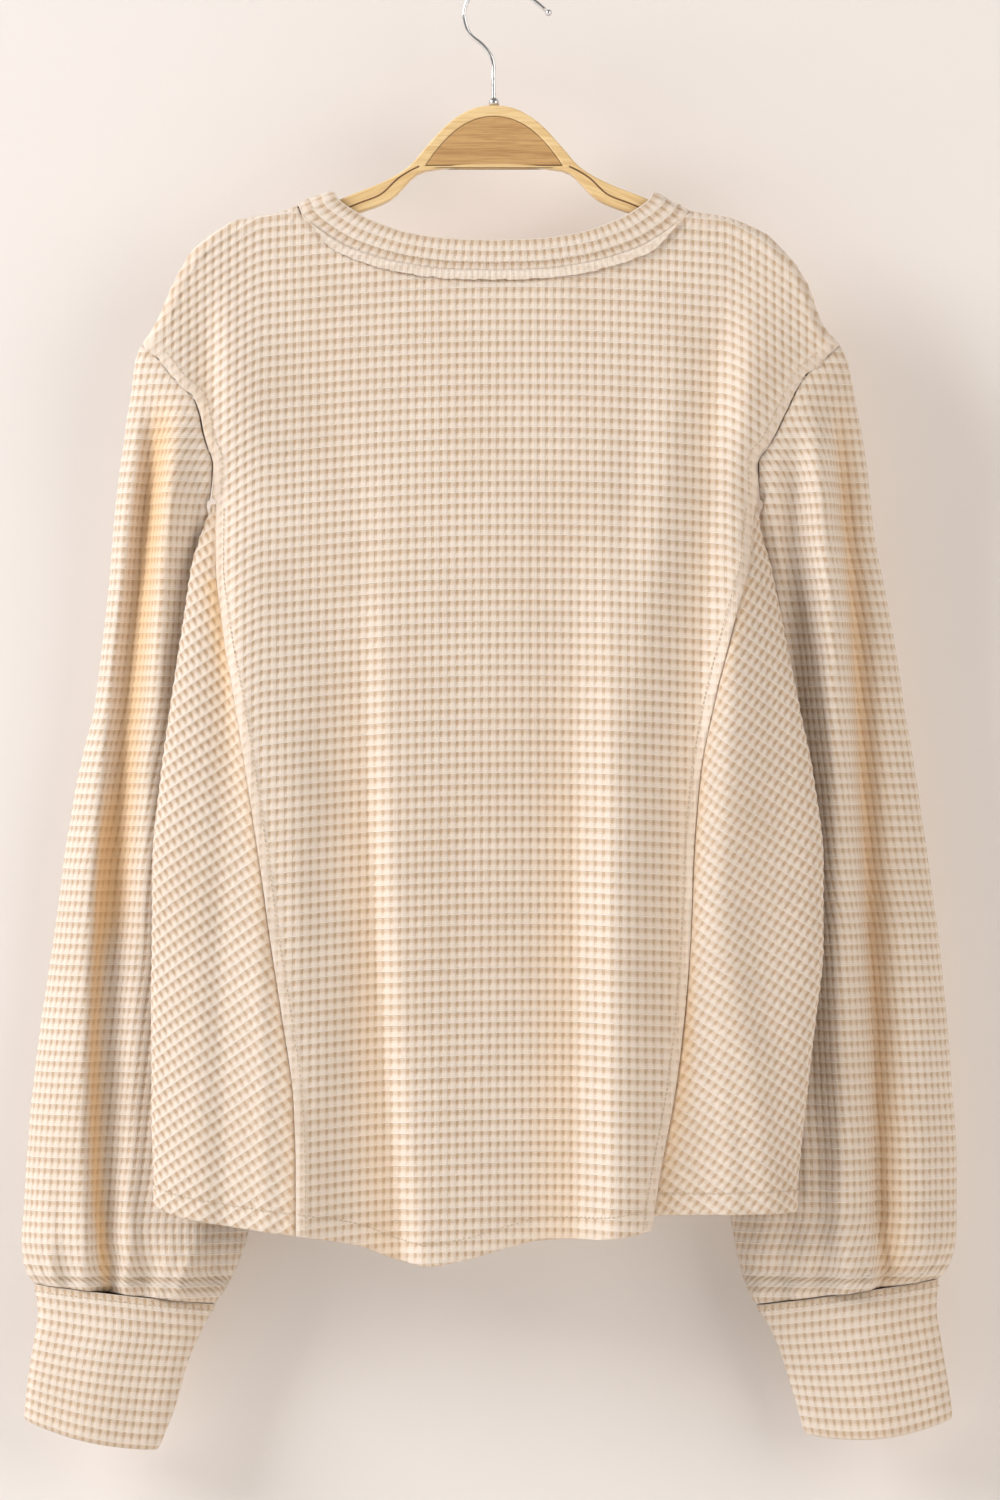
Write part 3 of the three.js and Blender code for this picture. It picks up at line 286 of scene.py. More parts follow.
# Largest folds of the hanging cloth
MAIN_FOLDS = {
    Face.BACK: (
        even(-96, -540, -118, -800, 14, 4), even(132, -520, 180, -790, 13, 6),
        Fold((-87, -290), (-62, -800), 34, 8, -8.0, bend=-6),
        Fold((-70, -290), (-45, -800), 9, 38, 6.5, bend=-6),
        Fold((50, -280), (50, -800), 34, 9, -7.0), Fold((76, -280), (77, -800), 10, 26, 11.0),
        Fold((-128, -400), (-128, -800), 24, 16, 6.5), Fold((120, -480), (114, -800), 16, 12, -3.5),
        even(-196, -500, -188, -790, 12, 4), even(-160, -560, -152, -790, 12, -3),
    ),
    Face.FRONT: (
        even(-104, -470, -112, -800, 17, 6), even(-66, -500, -58, -805, 18, -5),
        even(-30, -430, -8, -810, 22, 6), even(34, -470, 44, -800, 20, -5),
        even(84, -420, 80, -795, 18, 7), even(-168, -190, -160, -430, 16, 4),
        even(150, -190, 140, -430, 16, 4),
    ),
}
# Smaller folds that the knit hangs in
FINE_FOLDS = {
    Face.BACK: (
        Fold((-184, -180), (-158, -600), 14, 6, -6.5, bend=-6, start=0.2, fades=True),
        Fold((-170, -180), (-144, -600), 7, 30, 6.5, bend=-6, start=0.2, fades=True),
        Fold((168, -180), (138, -700), 11, 30, 12.0, start=0.16, fades=True),
        Fold((146, -180), (116, -700), 22, 8, -6.0, start=0.16, fades=True),
        Fold((-152, -540), (-148, -800), 18, 7, 6.0, start=0.4),
        Fold((104, -420), (108, -790), 10, 14, -2.6, start=0.6),
        Fold((12, -520), (24, -805), 26, 20, -1.2, start=0.8),
        Fold((-120, -230), (-60, -420), 16, 16, -1.4, start=0.4, fades=True),
        Fold((124, -220), (86, -500), 10, 20, 2.2, start=0.4, fades=True),
        Fold((104, -205), (70, -440), 14, 10, -1.8, start=0.4, fades=True),
        Fold((140, -600), (152, -790), 6, 10, 2.6, start=0.5),
        Fold((116, -560), (134, -790), 9, 6, -2.6, start=0.5),
        Fold((-206, -420), (-203, -780), 5, 8, 1.6, start=0.4),
        Fold((-176, -440), (-172, -780), 8, 8, -2.2, start=0.4),
        Fold((-142, -600), (-140, -790), 7, 9, 2.0, start=0.5),
    ),
    Face.FRONT: (
        Fold((-161, -200), (-158, -420), 18, 7, -3.0, start=0.3, fades=True),
        Fold((140, -200), (132, -440), 8, 20, -3.0, start=0.3, fades=True),
        Fold((-86, -560), (-84, -800), 12, 8, -2.4, start=0.8),
        Fold((-20, -600), (-4, -808), 12, 9, 2.2, start=0.8),
        Fold((60, -560), (64, -800), 10, 12, -2.2, start=0.7),
        Fold((-96, -260), (-50, -460), 16, 16, 1.6, start=0.4, fades=True),
        Fold((96, -260), (60, -460), 16, 16, 1.6, start=0.4, fades=True),
    ),
}


def shoulder_slope(x: Array) -> Array:
    """Slope of the top line of the shoulders."""
    return (SHOULDER(x + 1) - SHOULDER(x - 1)) / 2


def fold_height(x: Array, z: Array, face: Face) -> Array:
    """Height of all the folds of one face of the body."""
    return sum(fold.height(x, z) for fold in MAIN_FOLDS[face] + FINE_FOLDS[face])


def body_depth(x: Array, z: Array, face: Face) -> Array:
    """Y of the middle of the cloth on one face of the body."""
    left, right = OUTLINES[Side.LEFT](z), OUTLINES[Side.RIGHT](z)
    off = np.minimum(np.abs((2 * x - left - right) / (right - left)), 1.0)
    round_share = (1 - off**RING_POWER) ** (1 / RING_POWER)
    edge = EDGE_DEPTH(z)
    half = edge + (MIDDLE_DEPTH(z) - edge) * round_share
    slope = shoulder_slope(x)
    below = np.clip((SHOULDER(x) - z) / np.hypot(1, slope) / RIDGE_ROUND, 0, 1)
    ridge = (1 - (1 - below) ** RIDGE_POWER) ** (1 / RIDGE_POWER)
    folds = fold_height(x, z, face) * (1 - off**FOLD_EDGE_POWER)
    depth = np.maximum((half + folds) * ridge, HALF_GAP)
    return face.value * depth - SWING(z) * off * off


def body_surface(x: Array, z: Array, face: Face) -> tuple[Array, Array]:
    """Points in the middle of the body's cloth and the way that they face.

    Args:
        x: X of each place.
        z: Z of each place.
        face: Back or front of the body.

    Returns:
        The points and their unit normals, each with a last axis of three.
    """
    step = 0.05
    y = body_depth(x, z, face)
    step_x = np.where(x < 0, step, -step)
    slope_x = (body_depth(x + step_x, z, face) - y) / step_x
    slope_z = (body_depth(x, z - step, face) - y) / -step
    normal = np.stack([-slope_x, np.ones_like(y), -slope_z], -1) * face.value
    normal /= np.linalg.norm(normal, axis=-1, keepdims=True)
    return np.stack([x, y, z], -1), normal


@dataclass(frozen=True)
class Waffle:
    """Waffle knit: cells between upright ribs and level cords, with three grid lines each way."""

    width: float = 5.2
    height: float = 6.9
    depth: float = 1.15
    rib_half: float = 0.3
    floor_lines: tuple[float, float] = (0.27, 0.64)
    rib_low: float = 0.5
    rib_high: float = 0.74
    cord_height: float = 0.95
    floor_height: float = 0.42

    def across(self, low: float, high: float) -> tuple[Array, Array]:
        """Grid lines across the cells, with at least one cell to spare at each end.

        Args:
            low: Lowest place that the lines have to cover.
            high: Highest place.

        Returns:
            The places of the lines, and 1 on a rib and 0 in a groove.
        """
        cells = np.arange(math.floor(low / self.width) - 1, math.ceil(high / self.width) + 2)
        offsets = np.array([-self.rib_half, self.rib_half, 0.5])
        lines = ((cells[:, None] + offsets) * self.width).ravel()
        weight = np.tile([1.0, 1.0, 0.0], len(cells))
        return np.append(lines, lines[0] + len(cells) * self.width), np.append(weight, 1.0)

    def along(self, low: float, high: float) -> tuple[Array, Array]:
        """Grid lines down the cells, from the highest to the lowest.

        Args:
            low: Lowest place that the lines have to cover.
            high: Highest place.

        Returns:
            The places of the lines, and their kind: 1 on a cord, 0 just below it, else between.
        """
        cells = np.arange(math.ceil(high / self.height) + 1, math.floor(low / self.height) - 2, -1)
        offsets = np.array([0.0, self.floor_lines[0], self.floor_lines[1]])
        lines = ((cells[:, None] - offsets) * self.height).ravel()
        weight = np.tile([1.0, 0.0, self.floor_height], len(cells))
        return np.append(lines, lines[0] - len(cells) * self.height), np.append(weight, 1.0)

    def relief(self, down: Array, across: Array) -> Array:
        """Relief from 0 to 1 on a grid of lines.

        Args:
            down: Kind of each line down the cells.
            across: Kind of each line across them.

        Returns:
            A height for each crossing.
        """
        cord = self.cord_height + (1 - self.cord_height) * across[None, :]
        rib = np.where(down[:, None] == 0.0, self.rib_low, self.rib_high)
        floor = np.maximum(rib * across[None, :], down[:, None])
        return np.where(down[:, None] == 1.0, cord, floor)

    def smooth(self, u: Array, v: Array) -> Array:
        """Relief from 0 to 1 at any place, for cloth whose grid doesn't follow its ribs."""
        rib = smoothstep(0.15, 0.6, np.abs((u / self.width) % 1.0 - 0.5) * 2)
        level = (-v / self.height) % 1.0
        cord = smoothstep(0.3, 0.08, np.minimum(level, 1 - level))
        height = lerp(self.rib_low, self.rib_high, smoothstep(0.2, 0.6, level))
        return np.maximum(height * rib, cord * lerp(self.cord_height, 1.0, rib))

    def worn(self, relief: Array, calm: Array) -> Array:
        """Relief that flattens to the middle of its range where calm falls to 0."""
        return 0.5 + (relief - 0.5) * calm

    def outer(self, wall: float, relief: Array, lift: Array) -> Array:
        """Height of the outer face above the middle of a wall."""
        return wall / 2 - self.depth * (1 - relief) + lift


WAFFLE = Waffle()


@dataclass
class Lattice:
    """A piece of cloth as a grid of points in the middle of its wall; equal points are one."""

    point: Array
    normal: Array
    outer: Array
    inner: float
    cloth: Array
    relief: Array
    # Strength of the warm light and shade painted into the colour of the troughs
    painted_warm_shade: Array
    keep: Array | None = None
    press: Array | None = None


def weld(points: Array) -> tuple[Array, Array]:
    """Finds which points of a grid are one and the same.

    Args:
        points: Grid of points.

    Returns:
        The first grid index of each distinct point, and for each grid index its point's number.
    """
    key = np.round(points.reshape(-1, 3) * 1000).astype(np.int64)
    _, first, number = np.unique(key, axis=0, return_index=True, return_inverse=True)
    return first, number.reshape(points.shape[:2])


def grid_faces(number: Array, index: Array, kept: Array | None) -> list[tuple[Array, Array]]:
    """Faces of a grid, without the ones that have shrunk to a line or a point.

    Args:
        number: Number of the point at each crossing.
        index: Grid index of each crossing.
        kept: Which cells have cloth, or None for all.

    Returns:
        For quads and for triangles, the faces' point numbers and their grid indices.
    """
    def cells(values: Array) -> Array:
        """Four corners of every cell."""
        corners = [values[:-1, :-1], values[:-1, 1:], values[1:, 1:], values[1:, :-1]]
        return np.stack(corners, -1).reshape(-1, 4)

    quads, places = cells(number), cells(index)
    if kept is not None:
        quads, places = quads[kept.ravel()], places[kept.ravel()]
    same = quads == np.roll(quads, -1, axis=1)
    crossed = (quads[:, 0] == quads[:, 2]) | (quads[:, 1] == quads[:, 3])
    pairs = same.sum(1)
    whole = (pairs == 0) & ~crossed
    found = [(quads[whole], places[whole])]
    corner = np.argmax(same, axis=1)
    triangles, triangle_places = [], []
    for k in range(4):
        rows = (pairs == 1) & ~crossed & (corner == k)
        order = [c for c in range(4) if c != k]
        triangles.append(quads[rows][:, order])
        triangle_places.append(places[rows][:, order])
    found.append((np.concatenate(triangles), np.concatenate(triangle_places)))
    return found


def edge_loops(faces: Sequence[Array]) -> list[list[int]]:
    """Edges of an open surface, as closed loops of point numbers in the faces' own direction."""
    edges = np.concatenate([
        np.stack([f, np.roll(f, -1, axis=1)], -1).reshape(-1, 2) for f in faces if len(f)
    ])
    size = int(edges.max()) + 1
    code, back = edges[:, 0] * size + edges[:, 1], edges[:, 1] * size + edges[:, 0]
    ahead: dict[int, list[int]] = {}
    for a, b in edges[~np.isin(code, back)].tolist():
        ahead.setdefault(a, []).append(b)
    loops = []
    while ahead:
        start = next(iter(ahead))
        loop, here = [], start
        while True:
            loop.append(here)
            following = ahead[here].pop()
            if not ahead[here]:
                del ahead[here]
            here = following
            if here == start or here not in ahead:
                break
        loops.append(loop)
    return loops


def rim(fine: list[list[int]], coarse: list[list[int]]) -> Array:
    """Triangles between the edge of a fine surface and the same edge of a coarse one.

    Args:
        fine: Loops of the fine surface.
        coarse: Loops of the coarse one, whose points are all on the fine loops.

    Returns:
        Triangles of point numbers; a number below 0 is -1 minus a point of the coarse surface.
    """
    following = {}
    for loop in coarse:
        for a, b in zip(loop, loop[1:] + loop[:1]):
            following[a] = b
    made: list[tuple[int, int, int]] = []
    for loop in fine:
        marks = [k for k, point in enumerate(loop) if point in following]
        if len(marks) < 3:
            LOG.warning("an edge of %d points has no match on the inside", len(loop))
            continue
        for m, k in enumerate(marks):
            until = marks[(m + 1) % len(marks)]
            count = (until - k) % len(loop) or len(loop)
            chain = [loop[(k + step) % len(loop)] for step in range(count + 1)]
            a, b = chain[0], chain[-1]
            half = len(chain) // 2
            for p, q in zip(chain[:half], chain[1:half + 1]):
                made.append((q, p, -1 - a))
            if a != b:
                made.append((chain[half], -1 - a, -1 - b))
            for p, q in zip(chain[half:-1], chain[half + 1:]):
                made.append((q, p, -1 - b))
    return np.array(made, int)


def placed(name: str, data: ID) -> Object:
    """New object with the data, linked to the scene."""
    made = bpy.data.objects.new(name, data)
    bpy.context.scene.collection.objects.link(made)
    return made


def make_mesh(name: str, points: Array, faces: Sequence[Array],
              uvs: Sequence[Array] | None = None,
              values: dict[str, Array] | None = None) -> Object:
    """Smooth mesh object from arrays.

    Args:
        name: Name of the object.
        points: Points in millimetres.
        faces: Arrays of faces with three or four corners.
        uvs: Cloth coordinates of the corners in metres, one array for each array of faces.
        values: Attributes of the points.

    Returns:
        The object, linked to the scene.
    """
    corners = np.concatenate([f.ravel() for f in faces]).astype(np.int32)
    totals = np.concatenate([np.full(len(f), f.shape[1], np.int32) for f in faces])
    mesh = bpy.data.meshes.new(name)
    mesh.vertices.add(len(points))
    mesh.vertices.foreach_set("co", (points * MM).astype(np.float32).ravel())
    mesh.loops.add(len(corners))
    mesh.loops.foreach_set("vertex_index", corners)
    mesh.polygons.add(len(totals))
    mesh.polygons.foreach_set("loop_start", np.append(0, np.cumsum(totals)[:-1]).astype(np.int32))
    mesh.polygons.foreach_set("use_smooth", np.ones(len(totals), bool))
    mesh.update(calc_edges=True)
    if uvs is not None:
        layer = mesh.uv_layers.new(name="cloth")
        flat = np.concatenate([uv.reshape(-1, 2) for uv in uvs]).astype(np.float32)
        layer.data.foreach_set("uv", flat.ravel())
    for key, value in (values or {}).items():
        attribute = mesh.attributes.new(key, "FLOAT", "POINT")
        attribute.data.foreach_set("value", value.astype(np.float32))
    mesh.validate()
    return placed(name, mesh)


def face_outwards(mesh: Mesh, join: float | None = None) -> None:
    """Turns the faces of a closed mesh outwards, after joining points closer than join."""
    work = bmesh.new()
    work.from_mesh(mesh)
    if join is not None:
        bmesh.ops.remove_doubles(work, verts=work.verts, dist=join)
    bmesh.ops.recalc_face_normals(work, faces=work.faces)
    work.to_mesh(mesh)
    work.free()


def skin(name: str, rings: Array, ends: Array) -> Object:
    """Closed surface through rings of points, whose direction round their axis is right-handed.

    Args:
        name: Name of the object.
        rings: Points of each ring.
        ends: Point in the middle of each end, or none where the last ring joins the first.

    Returns:
        The object.
    """
    count, sides = rings.shape[:2]
    here = np.arange(sides)
    ahead = np.roll(here, -1)
    low = np.arange(count - 1 if len(ends) else count)[:, None] * sides
    high = (low + sides) % (count * sides)
    quads = np.stack([low + here, low + ahead, high + ahead, high + here], -1).reshape(-1, 4)
    faces = [quads]
    if len(ends):
        first, top = count * sides, (count - 1) * sides
        caps = (first, ahead, here), (first + 1, top + here, top + ahead)
        faces += [np.stack(np.broadcast_arrays(*cap), 1) for cap in caps]
    return make_mesh(name, np.concatenate([rings.reshape(-1, 3), ends]), faces)


def lathe(name: str, profile: Sequence[tuple[float, float]], origin: Vector, axis: Vector,
          sides: int = 40) -> Object:
    """Shape turned about an axis.

    Args:
        name: Name of the object.
        profile: Closed profile or one that starts and ends on the axis: radius and height.
        origin: Where height 0 lies.
        axis: Unit vector along the axis.
        sides: Number of sides.

    Returns:
        The object.
    """
    side = axis.orthogonal().normalized()
    turn = 2 * math.pi * np.arange(sides) / sides
    rim = np.outer(np.cos(turn), side) + np.outer(np.sin(turn), axis.cross(side))
    middle = [np.array(origin + axis * height) for _, height in profile]
    rings = [spot + radius * rim for spot, (radius, _) in zip(middle, profile) if radius > 0]
    ends = [spot for spot, (radius, _) in zip(middle, profile) if radius == 0]
    return skin(name, np.array(rings), np.reshape(ends, (-1, 3)))


def cloth_object(name: str, cloth: Lattice, step: int = 3) -> Object:
    """Closed shell of cloth: a fine outer face with relief, a coarser inner face and a rim.

    Args:
        name: Name of the object.
        cloth: The cloth on its grid.
        step: Grid lines of the outer face for each one of the inner face.

    Returns:
        The object.
    """
    first, number = weld(cloth.point)
    index = np.arange(number.size).reshape(number.shape)
    outer = (cloth.point + cloth.normal * cloth.outer[..., None]).reshape(-1, 3)[first]
    inner = (cloth.point - cloth.normal * cloth.inner).reshape(-1, 3)[first]
    kept = None if cloth.keep is None else np.kron(cloth.keep, np.ones((step, step), bool))
    fine = grid_faces(number, index, kept)
    coarse = grid_faces(number[::step, ::step], index[::step, ::step], cloth.keep)
    normals = cloth.normal.reshape(-1, 3)[first]
    quad = fine[0][0]
    a, b, c = (outer[quad[:, k]] for k in range(3))
    turned = float((np.cross(b - a, c - a) * normals[quad[:, 0]]).sum()) < 0
    if turned:
        fine = [(f[:, ::-1], g[:, ::-1]) for f, g in fine]
        coarse = [(f[:, ::-1], g[:, ::-1]) for f, g in coarse]
    strip = rim(edge_loops([f for f, _ in fine]), edge_loops([f for f, _ in coarse]))
    used = np.unique(np.concatenate([f.ravel() for f, _ in coarse]))
    renumber = np.full(len(first), -1)
    renumber[used] = len(first) + np.arange(len(used))
    inner_faces = [(renumber[f[:, ::-1]], g[:, ::-1]) for f, g in coarse]
    strip = np.where(strip >= 0, strip, renumber[-1 - np.minimum(strip, -1)])
    home = np.append(first, first[used])
    uv = cloth.cloth.reshape(-1, 2) * MM
    faces = [fine[0][0], fine[1][0], inner_faces[0][0], inner_faces[1][0], strip]
    uvs = [uv[fine[0][1]], uv[fine[1][1]], uv[inner_faces[0][1]], uv[inner_faces[1][1]],
           uv[home[strip]]]
    points = np.concatenate([outer, inner[used]])
    values = {
        "relief": np.append(cloth.relief.ravel()[first], np.full(len(used), 0.5)),
        # The inner face gets a fixed share of the painted warm light and shade
        "painted_warm_shade": np.append(cloth.painted_warm_shade.ravel()[first], np.full(len(used), 0.25)),
    }
    if cloth.press is not None:
        values["press"] = np.append(cloth.press.ravel()[first], np.zeros(len(used)))
    made = make_mesh(name, points, faces, uvs, values)
    LOG.info("%s: %d faces", name, len(made.data.polygons))
    return made


def numeric_normals(points: Array) -> Array:
    """Unit normals of a grid of points, from its neighbours down and across."""
    down = np.gradient(points, axis=0)
    across = np.gradient(points, axis=1)
    return unit(np.cross(across, down))


def bilinear(grid: Array, rows: Array, places: Array) -> Array:
    """Values of a grid between its points.

    Args:
        grid: Values, with a last axis.
        rows: Row of each place, with its share of the way to the next one.
        places: The same across.

    Returns:
        The values.
    """
    j = np.clip(rows.astype(int), 0, grid.shape[0] - 2)
    k = np.clip(places.astype(int), 0, grid.shape[1] - 2)
    f, g = (rows - j)[..., None], (places - k)[..., None]
    above = lerp(grid[j, k], grid[j, k + 1], g)
    return lerp(above, lerp(grid[j + 1, k], grid[j + 1, k + 1], g), f)


def ripple(u: Array, v: Array, seed: int) -> Array:
    """Slow uneven waves from -1 to 1, as knit that has hung for a while has."""
    draw = np.random.default_rng(seed)
    total = np.zeros(np.broadcast(u, v).shape)
    for _ in range(6):
        angle, phase = draw.uniform(0, math.pi), draw.uniform(0, 2 * math.pi)
        length = draw.uniform(26, 90)
        total += np.sin(2 * math.pi * (u * math.cos(angle) + v * math.sin(angle)) / length + phase)
    return total / 6


@dataclass
class Seamwork:
    """Stitch lines gathered while the pieces are made: a name and paths of points."""

    paths: dict[str, list[Array]] = field(default_factory=dict)

    def add(self, group: str, path: Array) -> None:
        """Keeps a path of points, in millimetres, for one group of stitches."""
        self.paths.setdefault(group, []).append(path)


@dataclass
class MiddlePanel:
    """Back or front panel, from the neck and shoulders to the hem."""

    face: Face
    ridge_shares: tuple[float, ...] = (0.62, 0.36, 0.18, 0.08, 0.03, 0.008, 0.0)
    droop: float = 12.0
    droop_half: float = 180.0
    droop_middle: float = 20.0
    shoulder_x: float = 146.0
    shoulder_droop: float = 0.62
    slanting_rows: int = 6
    open_z: float = -600.0
    cap_share: float = 0.45
    reach_x: tuple[float, float] = (-226.0, 222.0)
    reach_z: tuple[float, float] = (-822.0, -104.0)
    allowance: float = 8.0
    stitch_in: float = 2.2
    hem_turn: float = 14.0
    seam_lift: float = 0.7
    side_share: float = 0.8
    hem_lift: float = 0.45
    groove: float = 0.55
    seam_press: float = 0.55
    hem_press: float = 0.35
    painted_warm_share: float = 0.4
    painted_warm_depth: float = 9.0
    ripple_rise: float = 0.35

    def warp(self, x: Array) -> Array:
        """How far the level cords sink at each place across."""
        past = np.maximum(np.abs(x) - self.shoulder_x, 0.0)
        fall = self.shoulder_droop * past * past / (past + 14)
        return -self.droop * ((x - self.droop_middle) / self.droop_half) ** 2 - fall

    def edge(self, side: Side, z: Array) -> Array:
        """X of the panel's edge at a height."""
        armhole = OUTLINES[side](z)
        return np.where(z > SIDE_TOP_Z, armhole, SEAMS[side](z)) - side.sign * HALF_GAP

    def lean(self, side: Side, z: Array) -> Array:
        """Slope of the panel's edge at a height."""
        return (self.edge(side, z + 1) - self.edge(side, z - 1)) / 2

    def top(self, x: Array) -> Array:
        """Height of the top edge: the neck seam between the shoulders, else their top line."""
        seam_z = NECKS[self.face].read(1, np.abs(x))
        ridge = SHOULDER(x)
        return np.where(np.abs(x) < NECK_END_X - HALF_GAP, np.minimum(ridge, seam_z), ridge)

    def cap(self, x: Array) -> Array:
        """Height of the band below the top line whose grid follows that line."""
        heights, left, right = columns(OUTLINE[:self.slanting_rows])
        under_left = np.interp(x, left, heights)
        under_right = np.interp(x, right[::-1], heights[::-1])
        low = np.where(x > right[-2], under_right, self.open_z)
        room = np.maximum(self.top(x) - np.where(x < left[-2], under_left, low), 0.0)
        return np.minimum(RIDGE_ROUND * np.hypot(1, shoulder_slope(x)), self.cap_share * room)

    def border(self, side: Side, base: Array) -> Array:
        """X where each line of the grid meets the panel's edge."""
        x = self.edge(side, base)
        for _ in range(12):
            x = self.edge(side, base + self.warp(x))
        return x

    def lattice(self) -> Lattice:
        """Grid of the panel, with its relief, its turned seam allowances and its hem."""
        lines, ribs = WAFFLE.across(*self.reach_x)
        base, cords = WAFFLE.along(*self.reach_z)
        extra = len(self.ridge_shares)
        spare = (1 - len(base) - extra) % 3
        caps = np.concatenate([self.ridge_shares[::-1], np.ones(len(base) + spare)])
        cords = np.concatenate([np.full(extra, 0.5), cords, np.full(spare, 0.5)])
        base = np.concatenate([np.zeros(extra), base, np.full(spare, base[-1])])
        x = np.clip(lines[None, :], self.border(Side.LEFT, base)[:, None],
                    self.border(Side.RIGHT, base)[:, None])
        z = np.minimum(base[:, None] + self.warp(x), self.top(x) - self.cap(x) * caps[:, None])
        z = np.maximum(z, HEMS[self.face](x))
        point, normal = body_surface(x, z, self.face)
        level = z - self.warp(x)
        relief = np.where(caps[:, None] < 1, WAFFLE.smooth(x, level), WAFFLE.relief(cords, ribs))
        outer, relief, press = self.dress(x, z, relief)
        # Painted warm light and shade in the troughs of the folds, stronger where they are deeper
        troughs = np.clip(-fold_height(x, z, self.face) / self.painted_warm_depth, 0, 1)
        kept = self.beside_slit(x, z) if self.face is Face.FRONT else None
        return Lattice(point, normal, outer, CLOTH_WALL / 2, np.stack([x, level], -1), relief,
                       self.painted_warm_share * troughs**1.2, kept, press)

    def beside_slit(self, x: Array, z: Array) -> Array:
        """Which cells of the coarse grid have cloth: all but those of the placket's slit."""
        xs, zs = x[::3, ::3], z[::3, ::3]
        inside = np.abs((xs[:-1, :-1] + xs[:-1, 1:]) / 2 - PLACKET_X) < WAFFLE.width / 2
        return ~(inside & (zs[1:, :-1] > SLIT_FOOT_Z))

    def dress(self, x: Array, z: Array, relief: Array) -> tuple[Array, Array, Array]:
        """Lift of the outer face with allowances, hem and stitched grooves.

        Args:
            x: X of each crossing.
            z: Z of each crossing.
            relief: Relief of the knit there.

        Returns:
            The lift above the middle of the wall, the relief with its worn-down edges, and how
            far the knit is pressed flat.
        """
        lift, calm, press = np.zeros_like(x), np.ones_like(x), np.zeros_like(x)
        for side in Side:
            slope = self.lean(side, z)
            slant = np.hypot(1, np.where(np.abs(slope) > 2, 0, slope))
            off = np.abs(x - self.edge(side, z)) / slant
            height = self.seam_lift * np.where(z > SIDE_TOP_Z, 1.0, self.side_share)
            inside = smoothstep(self.allowance + 1.2, self.allowance - 0.6, off)
            lift += height * inside
            lift -= self.groove * bell(off - self.allowance + self.stitch_in, 0.9)
            press = np.maximum(press, inside)
            flat = np.minimum(1 - self.seam_press * inside, smoothstep(0.2, 2.0, off))
            calm = np.minimum(calm, flat)
        up = z - HEMS[self.face](x)
        inside = smoothstep(self.hem_turn + 1.0, self.hem_turn - 1.0, up)
        lift += self.hem_lift * inside - self.groove * bell(up - self.hem_turn, 1.1)
        lift -= 0.6 * smoothstep(2.0, 0.0, up)
        calm = np.minimum(calm, smoothstep(0.3, 3.0, up))
        neck = np.where(np.abs(x) < NECK_END_X, self.top(x) - z, math.inf)
        calm = np.minimum(calm, lerp(0.4, 1.0, smoothstep(1.0, 4.0, neck)))
        worn = WAFFLE.worn(relief, calm)
        waves = self.ripple_rise * ripple(x, z, 3 + self.face.value)
        press = np.maximum(press, self.hem_press * inside)
        return WAFFLE.outer(CLOTH_WALL, worn, lift + waves), worn, press

    def stitch_paths(self, seams: Seamwork, name: str) -> None:
        """Adds the piece's lines of stitches along the armholes, the side seams and the hem."""
        for side in Side:
            foot = float(HEMS[self.face](self.edge(side, np.array([-798.0])))[0])
            for z in (np.arange(-236.0, -326.0, -1.0), np.arange(-336.0, foot + 1, -2.0)):
                inwards = (self.allowance - self.stitch_in) * np.hypot(1, self.lean(side, z))
                seams.add(name, self.lifted(self.edge(side, z) - side.sign * inwards, z, 0.5))
        x = np.arange(-124.0, 98.0, 2.0)
        seams.add(name, self.lifted(x, HEMS[self.face](x) + self.hem_turn, 0.35))

    def lifted(self, x: Array, z: Array, gap: float) -> Array:
        """Points just off the outer face of the panel."""
        point, normal = body_surface(x, z, self.face)
        return point + normal * (CLOTH_WALL / 2 + gap)

    def build(self, seams: Seamwork) -> Object:
        """Builds the panel and gathers its stitch lines."""
        name = "back_panel" if self.face is Face.BACK else "front_panel"
        self.stitch_paths(seams, name)
        return cloth_object(f"{name}_cloth", self.lattice())


